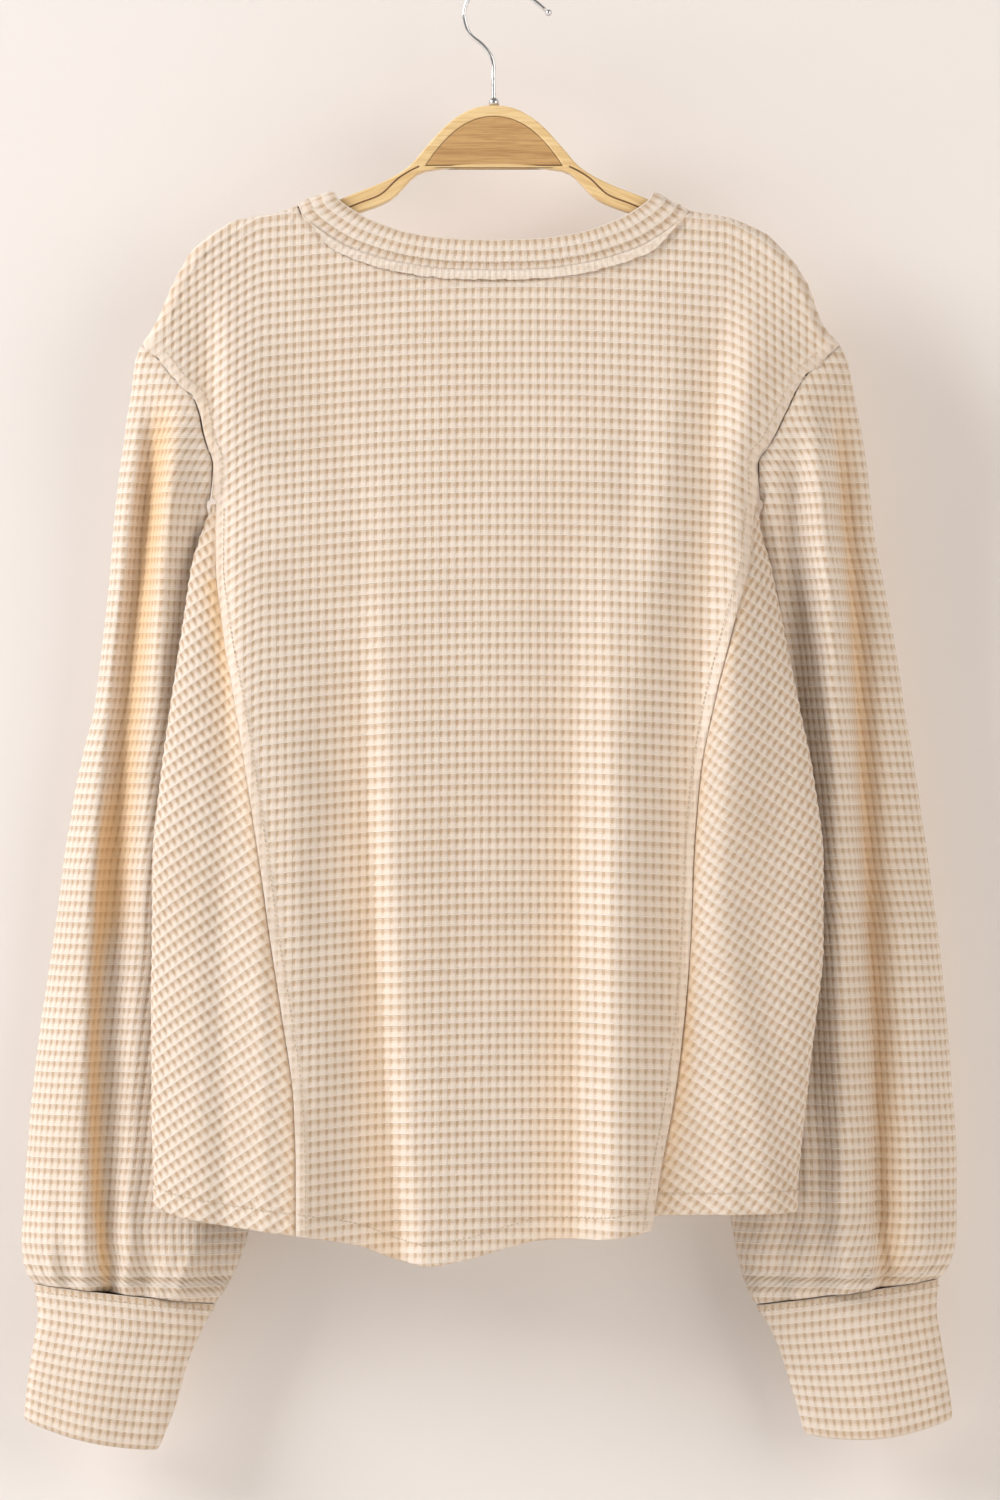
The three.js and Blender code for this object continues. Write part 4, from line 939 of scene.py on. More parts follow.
@dataclass
class SidePanel:
    """Side panel cut on the bias, wrapped round the side from the back seam to the front seam."""

    side: Side
    top_gap: float = 1.2
    rows: int = 346
    columns: int = 121
    bias: float = math.radians(57)
    hem_turn: float = 14.0
    hem_lift: float = 0.45
    groove: float = 0.5
    painted_warm_share: float = 0.35
    painted_warm_depth: float = 7.0
    seam_painted_warm_shade: float = 0.3
    seam_painted_warm_z: float = -380.0
    ripple_rise: float = 0.3

    def hem(self, around: Array) -> Array:
        """Height of the hem at a share of the way round."""
        shares, left, right = columns(SIDE_HEMS)
        return Curve(shares, left if self.side is Side.LEFT else right)(around)

    def surface(self, around: Array, z: Array) -> Array:
        """Points in the middle of the cloth.

        Args:
            around: Share of the way from the back seam to the front seam.
            z: Height of each point.

        Returns:
            The points.
        """
        left, right = OUTLINES[Side.LEFT](z), OUTLINES[Side.RIGHT](z)
        middle, half = (left + right) / 2, (right - left) / 2
        seam_off = np.clip(np.abs(SEAMS[self.side](z) - middle) / half, 0, 1)
        reach = np.arccos(seam_off ** (RING_POWER / 2))
        angle = lerp(-reach, reach, around)
        off = np.cos(angle) ** (2 / RING_POWER)
        at_seam = (around == 0) | (around == 1)
        x = middle + self.side.sign * (half * off + np.where(at_seam, HALF_GAP, 0.0))
        back, front = body_depth(x, z, Face.BACK), body_depth(x, z, Face.FRONT)
        return np.stack([x, np.where(around < 0.5, back, front), z], -1)

    def lattice(self) -> Lattice:
        """Grid of the panel with its slanting relief and its hem."""
        around = np.linspace(0, 1, self.columns)[None, :]
        down = np.linspace(0, 1, self.rows)[:, None]
        hem = self.hem(around)
        z = lerp(SIDE_TOP_Z - self.top_gap, hem, down)
        around = np.broadcast_to(around, z.shape)
        point = self.surface(around, z)
        normal = numeric_normals(point)
        if (normal[..., 0] * self.side.sign).mean() < 0:
            normal = -normal
        steps = np.linalg.norm(np.diff(point[..., :2], axis=1), axis=-1)
        along = np.concatenate([np.zeros((self.rows, 1)), np.cumsum(steps, axis=1)], axis=1)
        mirrored = -self.side.sign * SEAMS[self.side](z) - along
        u = mirrored * math.sin(self.bias) + z * math.cos(self.bias)
        v = z * math.sin(self.bias) - mirrored * math.cos(self.bias)
        off = np.minimum(along, along[:, -1:] - along)
        up = z - hem
        calm = smoothstep(0.4, 4.0, off) * smoothstep(0.3, 3.0, up)
        worn = WAFFLE.worn(WAFFLE.smooth(u, v), calm)
        lift = -0.5 * smoothstep(3.5, 0.0, off) - 0.6 * smoothstep(2.0, 0.0, up)
        lift += self.hem_lift * smoothstep(self.hem_turn + 1.0, self.hem_turn - 1.0, up)
        lift -= self.groove * bell(up - self.hem_turn, 1.2)
        outer = WAFFLE.outer(CLOTH_WALL, worn, lift + self.ripple_rise * ripple(u, v, 11))
        folds = np.where(around < 0.5, fold_height(point[..., 0], z, Face.BACK), 0.0)
        # Painted warm light and shade in the troughs of the back's folds and along the lower back
        # seam
        painted_warm_shade = self.painted_warm_share * np.clip(-folds / self.painted_warm_depth, 0, 1)
        painted_warm_shade += self.seam_painted_warm_shade * smoothstep(14.0, 2.0, along) * (z < self.seam_painted_warm_z)
        return Lattice(point, normal, outer, CLOTH_WALL / 2, np.stack([u, v], -1), worn,
                       np.clip(painted_warm_shade, 0, 1))

    def build(self, seams: Seamwork) -> Object:
        """Builds the panel and gathers the stitch line of its hem."""
        lattice = self.lattice()
        around = np.linspace(0.01, 0.99, 60)
        line = self.surface(around, self.hem(around) + self.hem_turn)
        spots, normals = lattice.point.reshape(-1, 3), lattice.normal.reshape(-1, 3)
        nearest = [np.argmin(((spots - spot) ** 2).sum(1)) for spot in line]
        name = f"side_panel_{self.side.value}"
        seams.add(name, line + normals[nearest] * (CLOTH_WALL / 2 + 0.35))
        return cloth_object(f"{name}_cloth", lattice)


@dataclass(frozen=True)
class SleeveFold:
    """Crest or trough that runs down a sleeve, through several places."""

    path: tuple[tuple[float, float], ...]
    left: float
    right: float
    rise: float

    def height(self, x: Array, z: Array) -> Array:
        """Height of the fold at each place on the sleeve."""
        xs, zs = columns(self.path)
        across = x - Curve(zs, xs)(z)
        across = across / np.where(across < 0, self.left, self.right)
        fade = smoothstep(0, 50, zs[0] - z) * smoothstep(-40, 20, z - zs[-1])
        return self.rise * fade * np.exp(-across * across)


# Sleeve sections on either side: depth behind the body, half depth, share kept to the armhole
SLEEVE_DEPTHS = (
    (0, 13, 1), (1, 15, 0.85), (4, 17, 0.6), (8, 18, 0.35), (13, 19, 0.15), (18, 19.5, 0),
    (22, 20, 0), (25, 20.5, 0), (27, 21, 0), (30, 22, 0), (32, 22.5, 0), (33, 23, 0), (37, 24, 0),
    (39, 25, 0), (39, 26, 0), (38, 27, 0), (36, 27, 0), (32, 25, 0), (31, 21, 0), (30, 17, 0),
    (30, 15, 0),
)
# Outer x, outer z, inner x and inner z of the same sections
SLEEVE_EDGES = {
    Side.LEFT: (
        (-225, -230, -180, -327.5), (-228.5, -238, -184, -331), (-231, -252, -183, -337),
        (-234, -270, -182.5, -345), (-237.5, -292, -182.5, -355), (-241.5, -318, -183.5, -368),
        (-245, -350, -186, -386), (-248, -385, -183, -408), (-252, -420, -180, -432),
        (-257, -458, -175, -464), (-268.7, -509, -169, -511), (-277.3, -560, -164, -560),
        (-284.2, -611, -161.5, -611), (-292.2, -662, -159.5, -662), (-298.6, -714, -157.4, -714),
        (-301.8, -752, -156.3, -752), (-303.8, -785, -157, -787), (-304.8, -806, -162, -811),
        (-303.5, -820, -169.5, -829), (-299.5, -830, -176, -841), (-296.5, -834, -180.5, -846.5),
    ),
    Side.RIGHT: (
        (221, -230, 168.5, -327.5), (225, -238, 172, -331), (229, -252, 170.5, -337),
        (232.5, -270, 168.5, -345), (237, -292, 167.5, -355), (241, -318, 168.5, -368),
        (244.5, -350, 171.5, -386), (251.5, -385, 169, -408), (258, -420, 167.5, -432),
        (264, -458, 164, -464), (272.5, -509, 160, -511), (280, -560, 157, -560),
        (287.1, -611, 155.3, -611), (292.5, -662, 153.7, -662), (296.5, -714, 152.1, -714),
        (298.9, -752, 151.3, -752), (298.9, -785, 153, -788), (298, -806, 157, -812),
        (295, -819, 161.5, -830), (290.5, -827, 166, -842), (286.7, -830.5, 169.6, -847),
    ),
}
SLEEVES = {side: tuple((*edge, *depth) for edge, depth in zip(edges, SLEEVE_DEPTHS))
           for side, edges in SLEEVE_EDGES.items()}
# Cuff sections: outer x, outer z, inner x, inner z, depth behind the body, half depth, dip
CUFFS = {
    Side.LEFT: (
        (-296, -834.8, -181, -847.3, 30, 14, 0), (-293.8, -854, -190.7, -866, 29, 14, 1),
        (-297, -875, -199, -886, 28, 13.5, 2), (-300.5, -899, -207, -914, 27, 13, 3),
        (-302.7, -922, -217.6, -941, 26, 12.5, 4),
    ),
    Side.RIGHT: (
        (286.3, -831.5, 170.3, -848, 30, 14, 0), (285.4, -850, 180, -864, 29, 14, 1),
        (288.6, -874, 188, -885, 28, 13.5, 3), (292.5, -899, 195, -908, 27, 13, 5),
        (295.7, -921, 201.5, -931, 26, 12.5, 7),
    ),
}
# Folds that run down the sleeves on the viewer's side
SLEEVE_FOLDS = {
    Side.LEFT: (
        SleeveFold(((-214, -245), (-241, -509), (-249, -840)), 9, 9, -11),
        SleeveFold(((-200, -262), (-211, -362), (-214, -470)), 8, 8, 6),
        SleeveFold(((-262, -520), (-281, -660), (-286, -810)), 16, 16, 5),
        SleeveFold(((-205, -790), (-202, -820), (-200, -846)), 20, 20, 6),
        SleeveFold(((-217, -250), (-224, -320), (-240, -460), (-252, -600), (-256, -741),
                    (-252, -835)),
                   3.5, 11, -4.5),
        SleeveFold(((-225, -250), (-232, -320), (-249, -460), (-261, -600), (-265, -741),
                    (-261, -835)),
                   14, 3, 5.5),
        SleeveFold(((-201, -245), (-206, -305), (-211, -362), (-220, -458), (-226, -600)),
                   4, 10, 5),
        SleeveFold(((-190, -268), (-190, -330), (-193, -410)), 3.5, 5, -6),
        SleeveFold(((-190, -560), (-186, -690), (-190, -846)), 10, 7, 2.4),
        SleeveFold(((-214, -600), (-222, -720), (-226, -846)), 8, 12, -2.6),
        SleeveFold(((-176, -620), (-172, -720), (-180, -846)), 6, 8, -2.4),
        SleeveFold(((-238, -740), (-236, -800), (-232, -846)), 8, 5, 2.6),
        SleeveFold(((-284, -740), (-278, -800), (-276, -846)), 5, 8, -2.6),
    ),
    Side.RIGHT: (
        SleeveFold(((203, -262), (216, -430), (225, -846)), 9, 9, 9),
        SleeveFold(((214, -250), (235, -430), (248, -800)), 9, 9, -9),
        SleeveFold(((268, -560), (275, -700), (272, -830)), 15, 15, 6),
        SleeveFold(((190, -270), (195, -380), (196, -470)), 7, 7, -5),
        SleeveFold(((211, -255), (217, -330), (224, -419), (233, -586), (239, -707), (240, -846)),
                   17, 3.5, 6),
        SleeveFold(((219, -255), (225, -330), (232, -419), (241, -586), (247, -707), (248, -840)),
                   3.5, 13, -4.5),
        SleeveFold(((186, -275), (190, -400), (197, -560), (203, -700)), 4, 8, -5),
        SleeveFold(((178, -520), (184, -680), (190, -846)), 8, 8, -2.6),
        SleeveFold(((166, -560), (168, -700), (176, -846)), 9, 6, 2.2),
        SleeveFold(((256, -560), (262, -690), (262, -830)), 14, 6, 2.2),
        SleeveFold(((286, -700), (284, -790), (278, -840)), 6, 6, -2.2),
        SleeveFold(((200, -700), (202, -790), (200, -846)), 7, 6, 2.4),
    ),
}
# Where warm light showing through the folds of the sleeves is painted into the cloth's colour, with
# a strength in place of a rise
GLOWS = {
    Side.LEFT: (
        SleeveFold(((-212, -245), (-219, -320), (-234, -450), (-242, -540), (-246, -600)),
                   8, 13, 0.8),
        SleeveFold(((-249, -500), (-256, -600), (-259, -690), (-258, -760), (-251, -835)),
                   3, 6, 0.9),
    ),
    Side.RIGHT: (
        SleeveFold(((219, -245), (226, -330), (233, -419), (243, -586), (249, -707), (252, -830)),
                   6, 15, 0.6),
    ),
}
# Folds on a sleeve's far side: share of the sleeve's width, top z, width, rise
FAR_FOLDS = ((0.25, -300, 12, 5), (0.5, -280, 11, -6), (0.75, -330, 12, 5))


@dataclass
class Tube:
    """Tube of cloth round an arm, its grid laid out from its outer edge to a hidden seam."""

    side: Side
    sections: tuple[tuple[float, ...], ...]
    wall: float
    samples: int = 201

    def walked(self) -> Array:
        """Distance of each section down the middle of the tube."""
        table = np.array(self.sections, float)
        middle = (table[:, 0:2] + table[:, 2:4]) / 2
        return np.append(0, np.cumsum(np.linalg.norm(np.diff(middle, axis=0), axis=1)))

    def shape(self, down: Array) -> list[Array]:
        """The sections' values at distances down the tube."""
        at = self.walked()
        return [Curve(at, column)(down) for column in columns(self.sections)]

    def length(self) -> float:
        """Length of the tube down the middle."""
        return float(self.walked()[-1])

    def rings(self, down: Array, angle: Array) -> tuple[Array, Array]:
        """Points round the tube.

        Args:
            down: Distance of each place down the tube, a row for each ring.
            angle: Its angle round the tube, 0 at the outer edge and above 0 on the viewer's side.

        Returns:
            The points of each ring, and the strength of the warm light painted there, from 0 to 1.
        """
        raise NotImplementedError

    def facing(self, rings: Array) -> Array:
        """Outward normals of a closed tube's regular grid of rings."""
        rings = np.concatenate([rings[:, :-1], rings[:, :1]], axis=1)
        looped = np.concatenate([rings[:, -2:-1], rings, rings[:, 1:2]], axis=1)
        normals = numeric_normals(looped)[:, 1:-1]
        centre = rings.mean(axis=1, keepdims=True)
        return normals * math.copysign(1.0, float(((rings - centre) * normals).sum()))

    def reach(self, ring: Array) -> Array:
        """Distance of each sample round the tube from the outer edge."""
        steps = np.linalg.norm(np.diff(ring, axis=1), axis=-1)
        reach = np.concatenate([np.zeros((len(ring), 1)), np.cumsum(steps, axis=1)], axis=1)
        return reach - reach[:, self.samples // 2][:, None]

    def span(self, ring: Array) -> tuple[float, float]:
        """Furthest distances round the tube on its two sides."""
        reach = self.reach(ring)
        return float(reach.min()), float(reach.max())

    def laid(self, lines: Array, ring: Array, fields: Sequence[Array]) -> list[Array]:
        """Lays the grid's lines round the tube.

        Args:
            lines: Distances of the lines from the outer edge.
            ring: Samples round each row.
            fields: Values at the same samples.

        Returns:
            The points, the distances of the lines as they are cut off, and the fields there.
        """
        reach = self.reach(ring)
        along = np.clip(lines[None, :], reach[:, :1], reach[:, -1:])
        values = [ring, *fields]
        flat = np.concatenate([v.reshape(*reach.shape, -1) for v in values], axis=-1)
        made = np.stack([
            np.stack([np.interp(a, r, f) for f in row.T], axis=-1)
            for a, r, row in zip(along, reach, flat)
        ])
        widths = np.cumsum([1 if v.ndim == 2 else v.shape[-1] for v in values])[:-1]
        point, *rest = np.split(made, widths, axis=-1)
        return [point, along, *(v[..., 0] if v.shape[-1] == 1 else v for v in rest)]

    def shell(self, point: Array, normal: Array, along: Array, base: Array, relief: Array,
              lift: Array, painted_warm_shade: Array) -> Lattice:
        """Grid of the tube from its points and the relief and lift of its outer face.

        Args:
            point: Points in the middle of the wall.
            normal: Their normals, of any length.
            along: Distance of each point round the tube.
            base: Height of each row on the cloth.
            relief: Relief of the knit.
            lift: Lift of the outer face.
            painted_warm_shade: Strength of the warm light and shade painted into the colour.

        Returns:
            The grid.
        """
        cloth = np.stack([along, np.broadcast_to(base[:, None], along.shape)], -1)
        outer = WAFFLE.outer(self.wall, relief, lift)
        return Lattice(point, unit(normal), outer, self.wall / 2, cloth, relief, painted_warm_shade)

    def from_seam(self, ring: Array, along: Array) -> Array:
        """Distance of each grid point from the hidden seam."""
        reach = self.reach(ring)
        return np.where(along >= 0, reach[:, -1:], -reach[:, :1]) - np.abs(along)


@dataclass
class Sleeve(Tube):
    """Long full sleeve, set into the armhole and gathered into the cuff."""

    gathers: int = 9
    gather_rise: float = 3.6
    gather_reach: float = 44.0
    pleats: tuple[tuple[float, int, float], ...] = ((0.55, 23, 0.7), (0.45, 31, 2.1))
    pleat_share: float = 0.8
    seam_gather: float = 0.35
    hole_gap: float = 0.8
    underarm_gap: float = 1.8
    gap_across: float = 0.9
    gap_down: float = 0.42
    far_ripple: float = 1.8
    far_glow: float = 0.04
    ripple_rise: float = 0.35
    dense: int = 320

    def rings(self, down: Array, angle: Array) -> tuple[Array, Array]:
        """Points round the sleeve, with its folds and gathers, and the strength of the warm light
        painted on it.
        """
        out_x, out_z, in_x, in_z, behind, depth, keep = self.shape(down)
        share = (1 - np.cos(angle)) / 2
        x, z = lerp(out_x, in_x, share), lerp(out_z, in_z, share)
        y = behind - depth * np.sin(angle)
        first, last = self.sections[0], self.sections[-1]
        hole_z = lerp(TIP_Z, UNDERARM_Z, share)
        hole_x = OUTLINES[self.side](hole_z)
        near = angle > 0
        hole_y = np.where(near, body_depth(hole_x, hole_z, Face.BACK),
                          body_depth(hole_x, hole_z, Face.FRONT))
        away = self.hole_gap + self.underarm_gap * share**3
        out = self.side.sign * self.gap_across * away
        x = x + keep * (hole_x + out - lerp(first[0], first[2], share))
        y = y + keep * (hole_y - (first[4] - first[5] * np.sin(angle)))
        z = z + keep * (hole_z - self.gap_down * away - lerp(first[1], first[3], share))
        width = np.abs(out_x - in_x)
        far = sum(rise * smoothstep(0, 80, top - z) * bell((share - at) * width, half)
                  for at, top, half, rise in FAR_FOLDS)
        far = far + self.far_ripple * np.sin(share * width / 9 + 1.3) * smoothstep(0, 120, -300 - z)
        rise = smoothstep(self.gather_reach, 0, z - lerp(last[1], last[3], share))
        pleats = sum(tall * np.cos(count * angle + turn) for tall, count, turn in self.pleats)
        waves = np.cos(self.gathers * angle) + pleats * self.pleat_share
        at_seam = lerp(self.seam_gather, 1.0, smoothstep(0.0, 9.0, self.length() - down))
        gather = self.gather_rise * rise * waves * at_seam
        edge = np.abs(np.sin(angle))
        fold = np.where(near, sum(f.height(x, z) for f in SLEEVE_FOLDS[self.side]), far)
        # Painted warm light where light shows through the near side's folds; on the far side a
        # faint share that follows its folds
        glow = sum(path.height(x, z) for path in GLOWS[self.side])
        trough = np.where(near, glow, self.far_glow * np.abs(far)) * edge
        y = y + np.where(near, -edge, edge) * (fold * (1 - keep) + gather)
        return np.stack([x, y, z], -1), trough

    def lattice(self) -> Lattice:
        """Grid of the sleeve, whose cords are level and whose ribs are cut off by the armhole."""
        length, half = self.length(), self.samples // 2
        angle = np.linspace(-math.pi, math.pi, self.samples)
        dense_down = np.linspace(0, length, self.dense)
        dense, _ = self.rings(dense_down[:, None], angle)
        fall = np.maximum.accumulate(-dense[..., 2], axis=0)
        base, cords = WAFFLE.along(-fall.max(), -fall.min())
        level = np.clip(base, -fall.max(), -fall.min())
        down = np.stack([np.interp(-level, column, dense_down) for column in fall.T], axis=1)
        limit = np.interp(-level, fall[0, half:], angle[half:])
        turn = limit[:, None] * np.linspace(-1, 1, self.samples)
        down = np.stack([np.interp(t, angle, d) for t, d in zip(turn, down)])
        ring, troughs = self.rings(down, turn)
        whole = limit > math.pi - 1e-6
        ring[whole, -1] = ring[whole, 0]
        rows = down / length * (self.dense - 1)
        places = (turn + math.pi) / (2 * math.pi) * (self.samples - 1)
        normals = bilinear(self.facing(dense), rows, places)
        lines, ribs = WAFFLE.across(*self.span(ring))
        point, along, normal, trough, near_cuff = self.laid(
            lines, ring, [normals, troughs, length - down])
        calm = smoothstep(0.3, 2.5, self.from_seam(ring, along)) * smoothstep(0.2, 3.0, near_cuff)
        worn = WAFFLE.worn(WAFFLE.relief(cords, ribs), calm)
        lift = self.ripple_rise * ripple(along, base[:, None], 22)
        return self.shell(point, normal, along, base, worn, lift, trough)

    def build(self) -> Object:
        """Builds the sleeve."""
        return cloth_object(f"sleeve_{self.side.value}_cloth", self.lattice())


@dataclass
class Cuff(Tube):
    """Deep cuff of doubled cloth."""

    stitch_down: float = 4.0
    waves: tuple[tuple[float, int, float], ...] = ((1.2, 2, 0.6), (0.7, 5, 1.9))
    ripple_rise: float = 0.3

    def rings(self, down: Array, angle: Array) -> tuple[Array, Array]:
        """Points round the cuff."""
        out_x, out_z, in_x, in_z, behind, depth, dip = self.shape(down)
        share = (1 - np.cos(angle)) / 2
        x, z = lerp(out_x, in_x, share), lerp(out_z, in_z, share)
        z = z - dip * np.sin(angle) ** 2
        shallow = sum(tall * np.cos(count * angle + turn) for tall, count, turn in self.waves)
        shallow = shallow * np.sin(angle) ** 2 * smoothstep(0, 20, down)
        y = behind - depth * np.sin(angle) + shallow
        return np.stack([x, y, z], -1), np.zeros_like(x)

    def lattice(self) -> Lattice:
        """Grid of the cuff, rounded at the top seam and at the fold at its foot."""
        length = self.length()
        base, cords = WAFFLE.along(-length, 0.0)
        down = np.clip(-base, 0.0, length)[:, None]
        angle = np.linspace(-math.pi, math.pi, self.samples)
        ring, _ = self.rings(down, angle)
        ring[:, -1] = ring[:, 0]
        regular, _ = self.rings(np.linspace(0, length, self.samples)[:, None], angle)
        rows = np.broadcast_to(down / length * (self.samples - 1), ring.shape[:2])
        places = np.broadcast_to(np.arange(self.samples, dtype=float), rows.shape)
        normals = bilinear(self.facing(regular), rows, places)
        lines, ribs = WAFFLE.across(*self.span(ring))
        point, along, normal = self.laid(lines, ring, [normals])
        calm = (smoothstep(0.2, 3.0, np.minimum(down, length - down))
                * smoothstep(0.3, 2.5, self.from_seam(ring, along)))
        worn = WAFFLE.worn(WAFFLE.relief(cords, ribs), calm)
        lift = 0.3 * smoothstep(3.0, 0.0, down) - 0.8 * smoothstep(3.0, 0.0, length - down)
        lift = lift + self.ripple_rise * ripple(along, down, 31 + self.side.sign)
        return self.shell(point, normal, along, base, worn, lift, np.zeros(along.shape))

    def build(self, seams: Seamwork) -> Object:
        """Builds the cuff and gathers the line of stitches under its seam."""
        angle = np.linspace(-math.pi, math.pi, 121)
        around = np.array([self.stitch_down, self.stitch_down + 1])
        (ring, below), _ = self.rings(around[:, None], angle)
        out = (ring - ring.mean(axis=0)) * (1, 1, 0)
        normal = unit(np.cross(np.gradient(ring, axis=0), below - ring))
        normal *= np.sign((normal * out).sum(1, keepdims=True))
        name = f"cuff_{self.side.value}"
        seams.add(name, ring + normal * (self.wall / 2 + 0.1))
        return cloth_object(f"{name}_cloth", self.lattice())


@dataclass
class NeckBand:
    """Doubled band round the neck, with its ribs square to its edge, and the raw strip below."""

    width: float = 21.0
    gap: float = -0.3
    stitch_up: float = 6.0
    dense: int = 260
    coarse: int = 12
    strip_end: float = 119.0
    strip_tuck: float = 98.0
    strip_lift: float = 2.1
    strip_foot: float = 1.45
    strip_drops: tuple[float, ...] = (-0.8, 1.0, 2.5, 3.8, 4.6, 5.0, 5.4)

    def grid(self, across: Array) -> tuple[Array, Array]:
        """Points all along the band.

        Args:
            across: Distances from the seam towards the free edge.

        Returns:
            The points, one row for each distance, and each place's sign of face.
        """
        down = np.linspace(NECK_END_X, SLIT_HALF, self.dense)
        whole = np.linspace(NECK_END_X, 0.0, self.dense)
        quarters = ((Face.FRONT, -1, down[::-1]), (Face.BACK, -1, whole[1:]),
                    (Face.BACK, 1, whole[::-1][1:]), (Face.FRONT, 1, down[1:]))
        points, faces = [], []
        for face, sign, seam_x in quarters:
            share = np.repeat(np.maximum(across, self.gap)[:, None] / self.width, len(seam_x), 1)
            x, z = NECKS[face].place(np.broadcast_to(seam_x, share.shape), share, sign)
            points.append(np.stack([x, body_depth(x, z, face), z], -1))
            faces.append(np.full(len(seam_x), face.value))
        return np.concatenate(points, axis=1), np.concatenate(faces)

    def lattice(self) -> Lattice:
        """Grid of the band with its relief and the groove of its stitches."""
        base, cords = WAFFLE.along(0.0, self.width)
        base, cords = np.clip(base[::-1], self.gap, self.width), cords[::-1]
        dense, faces = self.grid(base)
        (middle,), _ = self.grid(np.array([self.width / 2]))
        length = np.append(0, np.cumsum(np.linalg.norm(np.diff(middle, axis=0), axis=1)))
        lines, ribs = WAFFLE.across(0.0, float(length[-1]))
        lines = np.clip(lines, 0.0, length[-1])
        levels = np.linspace(self.gap, self.width, self.coarse)
        facing = numeric_normals(self.grid(levels)[0])
        if (facing[..., 1] * faces[None, :]).mean() < 0:
            facing = -facing
        rows = np.interp(base, levels, np.arange(self.coarse))
        low = np.minimum(rows.astype(int), self.coarse - 2)
        normals = lerp(facing[low], facing[low + 1], (rows - low)[:, None, None])
        point, normal = (
            np.stack([np.stack([np.interp(lines, length, axis) for axis in row.T], -1)
                      for row in grid]) for grid in (dense, normals))
        up = np.broadcast_to(base[:, None], point.shape[:2])
        calm = smoothstep(0.2, 2.5, up) * smoothstep(0.0, 2.0, self.width - up)
        worn = WAFFLE.worn(WAFFLE.relief(cords, ribs), calm)
        lift = -0.9 * smoothstep(2.4, 0.0, self.width - up) - 0.5 * smoothstep(2.0, 0.0, up)
        lift = lift - 0.6 * bell(up - self.stitch_up, 0.9)
        cloth = np.stack(np.broadcast_arrays(lines[None, :], up), -1)
        return Lattice(point, unit(normal), WAFFLE.outer(DOUBLED_WALL, worn, lift),
                       DOUBLED_WALL / 2, cloth, worn, np.zeros(up.shape))

    def stitch_path(self) -> Array:
        """Line of the stitches that hold the band's seam, on its outer face."""
        (path, above), faces = self.grid(np.array([self.stitch_up, self.stitch_up + 2]))
        normal = unit(np.cross(np.gradient(path, axis=0), above - path))
        if (normal[:, 1] * faces).mean() < 0:
            normal = -normal
        return path + normal * (DOUBLED_WALL / 2 - 0.1)

    def raw_strip(self) -> Lattice:
        """Raw-edged strip that shows below the band on the back."""
        seam_x = np.linspace(-self.strip_end, self.strip_end, 385)
        sign = np.where(seam_x < 0, -1.0, 1.0)
        here, inside = (np.stack(NECKS[Face.BACK].place(np.abs(seam_x), share, sign))
                        for share in (np.zeros_like(seam_x), np.ones_like(seam_x)))
        away = (here - inside) / np.linalg.norm(here - inside, axis=0)
        draw = np.random.default_rng(5)
        ragged = np.convolve(draw.uniform(-1, 1, len(seam_x) + 4), np.ones(5) / 5, "valid")
        drops = np.array(self.strip_drops)
        reach = drops[:, None] + np.where(drops[:, None] > 4, 0.9 * ragged[None, :], 0)
        tucked = smoothstep(self.strip_end, self.strip_tuck, np.abs(seam_x))[None, :]
        reach = drops[0] + (reach - drops[0]) * lerp(0.12, 1.0, tucked)
        x, z = here[:, None, :] + away[:, None, :] * reach
        point, normal = body_surface(x, z, Face.BACK)
        rib = 0.16 * np.cos(np.arange(len(seam_x)) * 2 * math.pi / 6)[None, :]
        edge = 0.25 * smoothstep(4.0, 5.4, drops)[:, None]
        outer = self.strip_lift + 0.55 + rib + edge + 0.1 * ragged[None, :]
        relief = np.broadcast_to(0.85 + rib, x.shape)
        return Lattice(point, normal, outer, -self.strip_foot, np.stack([x, z], -1), relief,
                       np.zeros_like(x), press=np.ones_like(x))

    def build(self, seams: Seamwork) -> list[Object]:
        """Builds the band and the strip, and gathers the band's stitches."""
        seams.add("neck_band", self.stitch_path())
        band = cloth_object("neck_band_cloth", self.lattice())
        strip = cloth_object("neck_raw_strip_cloth", self.raw_strip())
        return [band, strip]


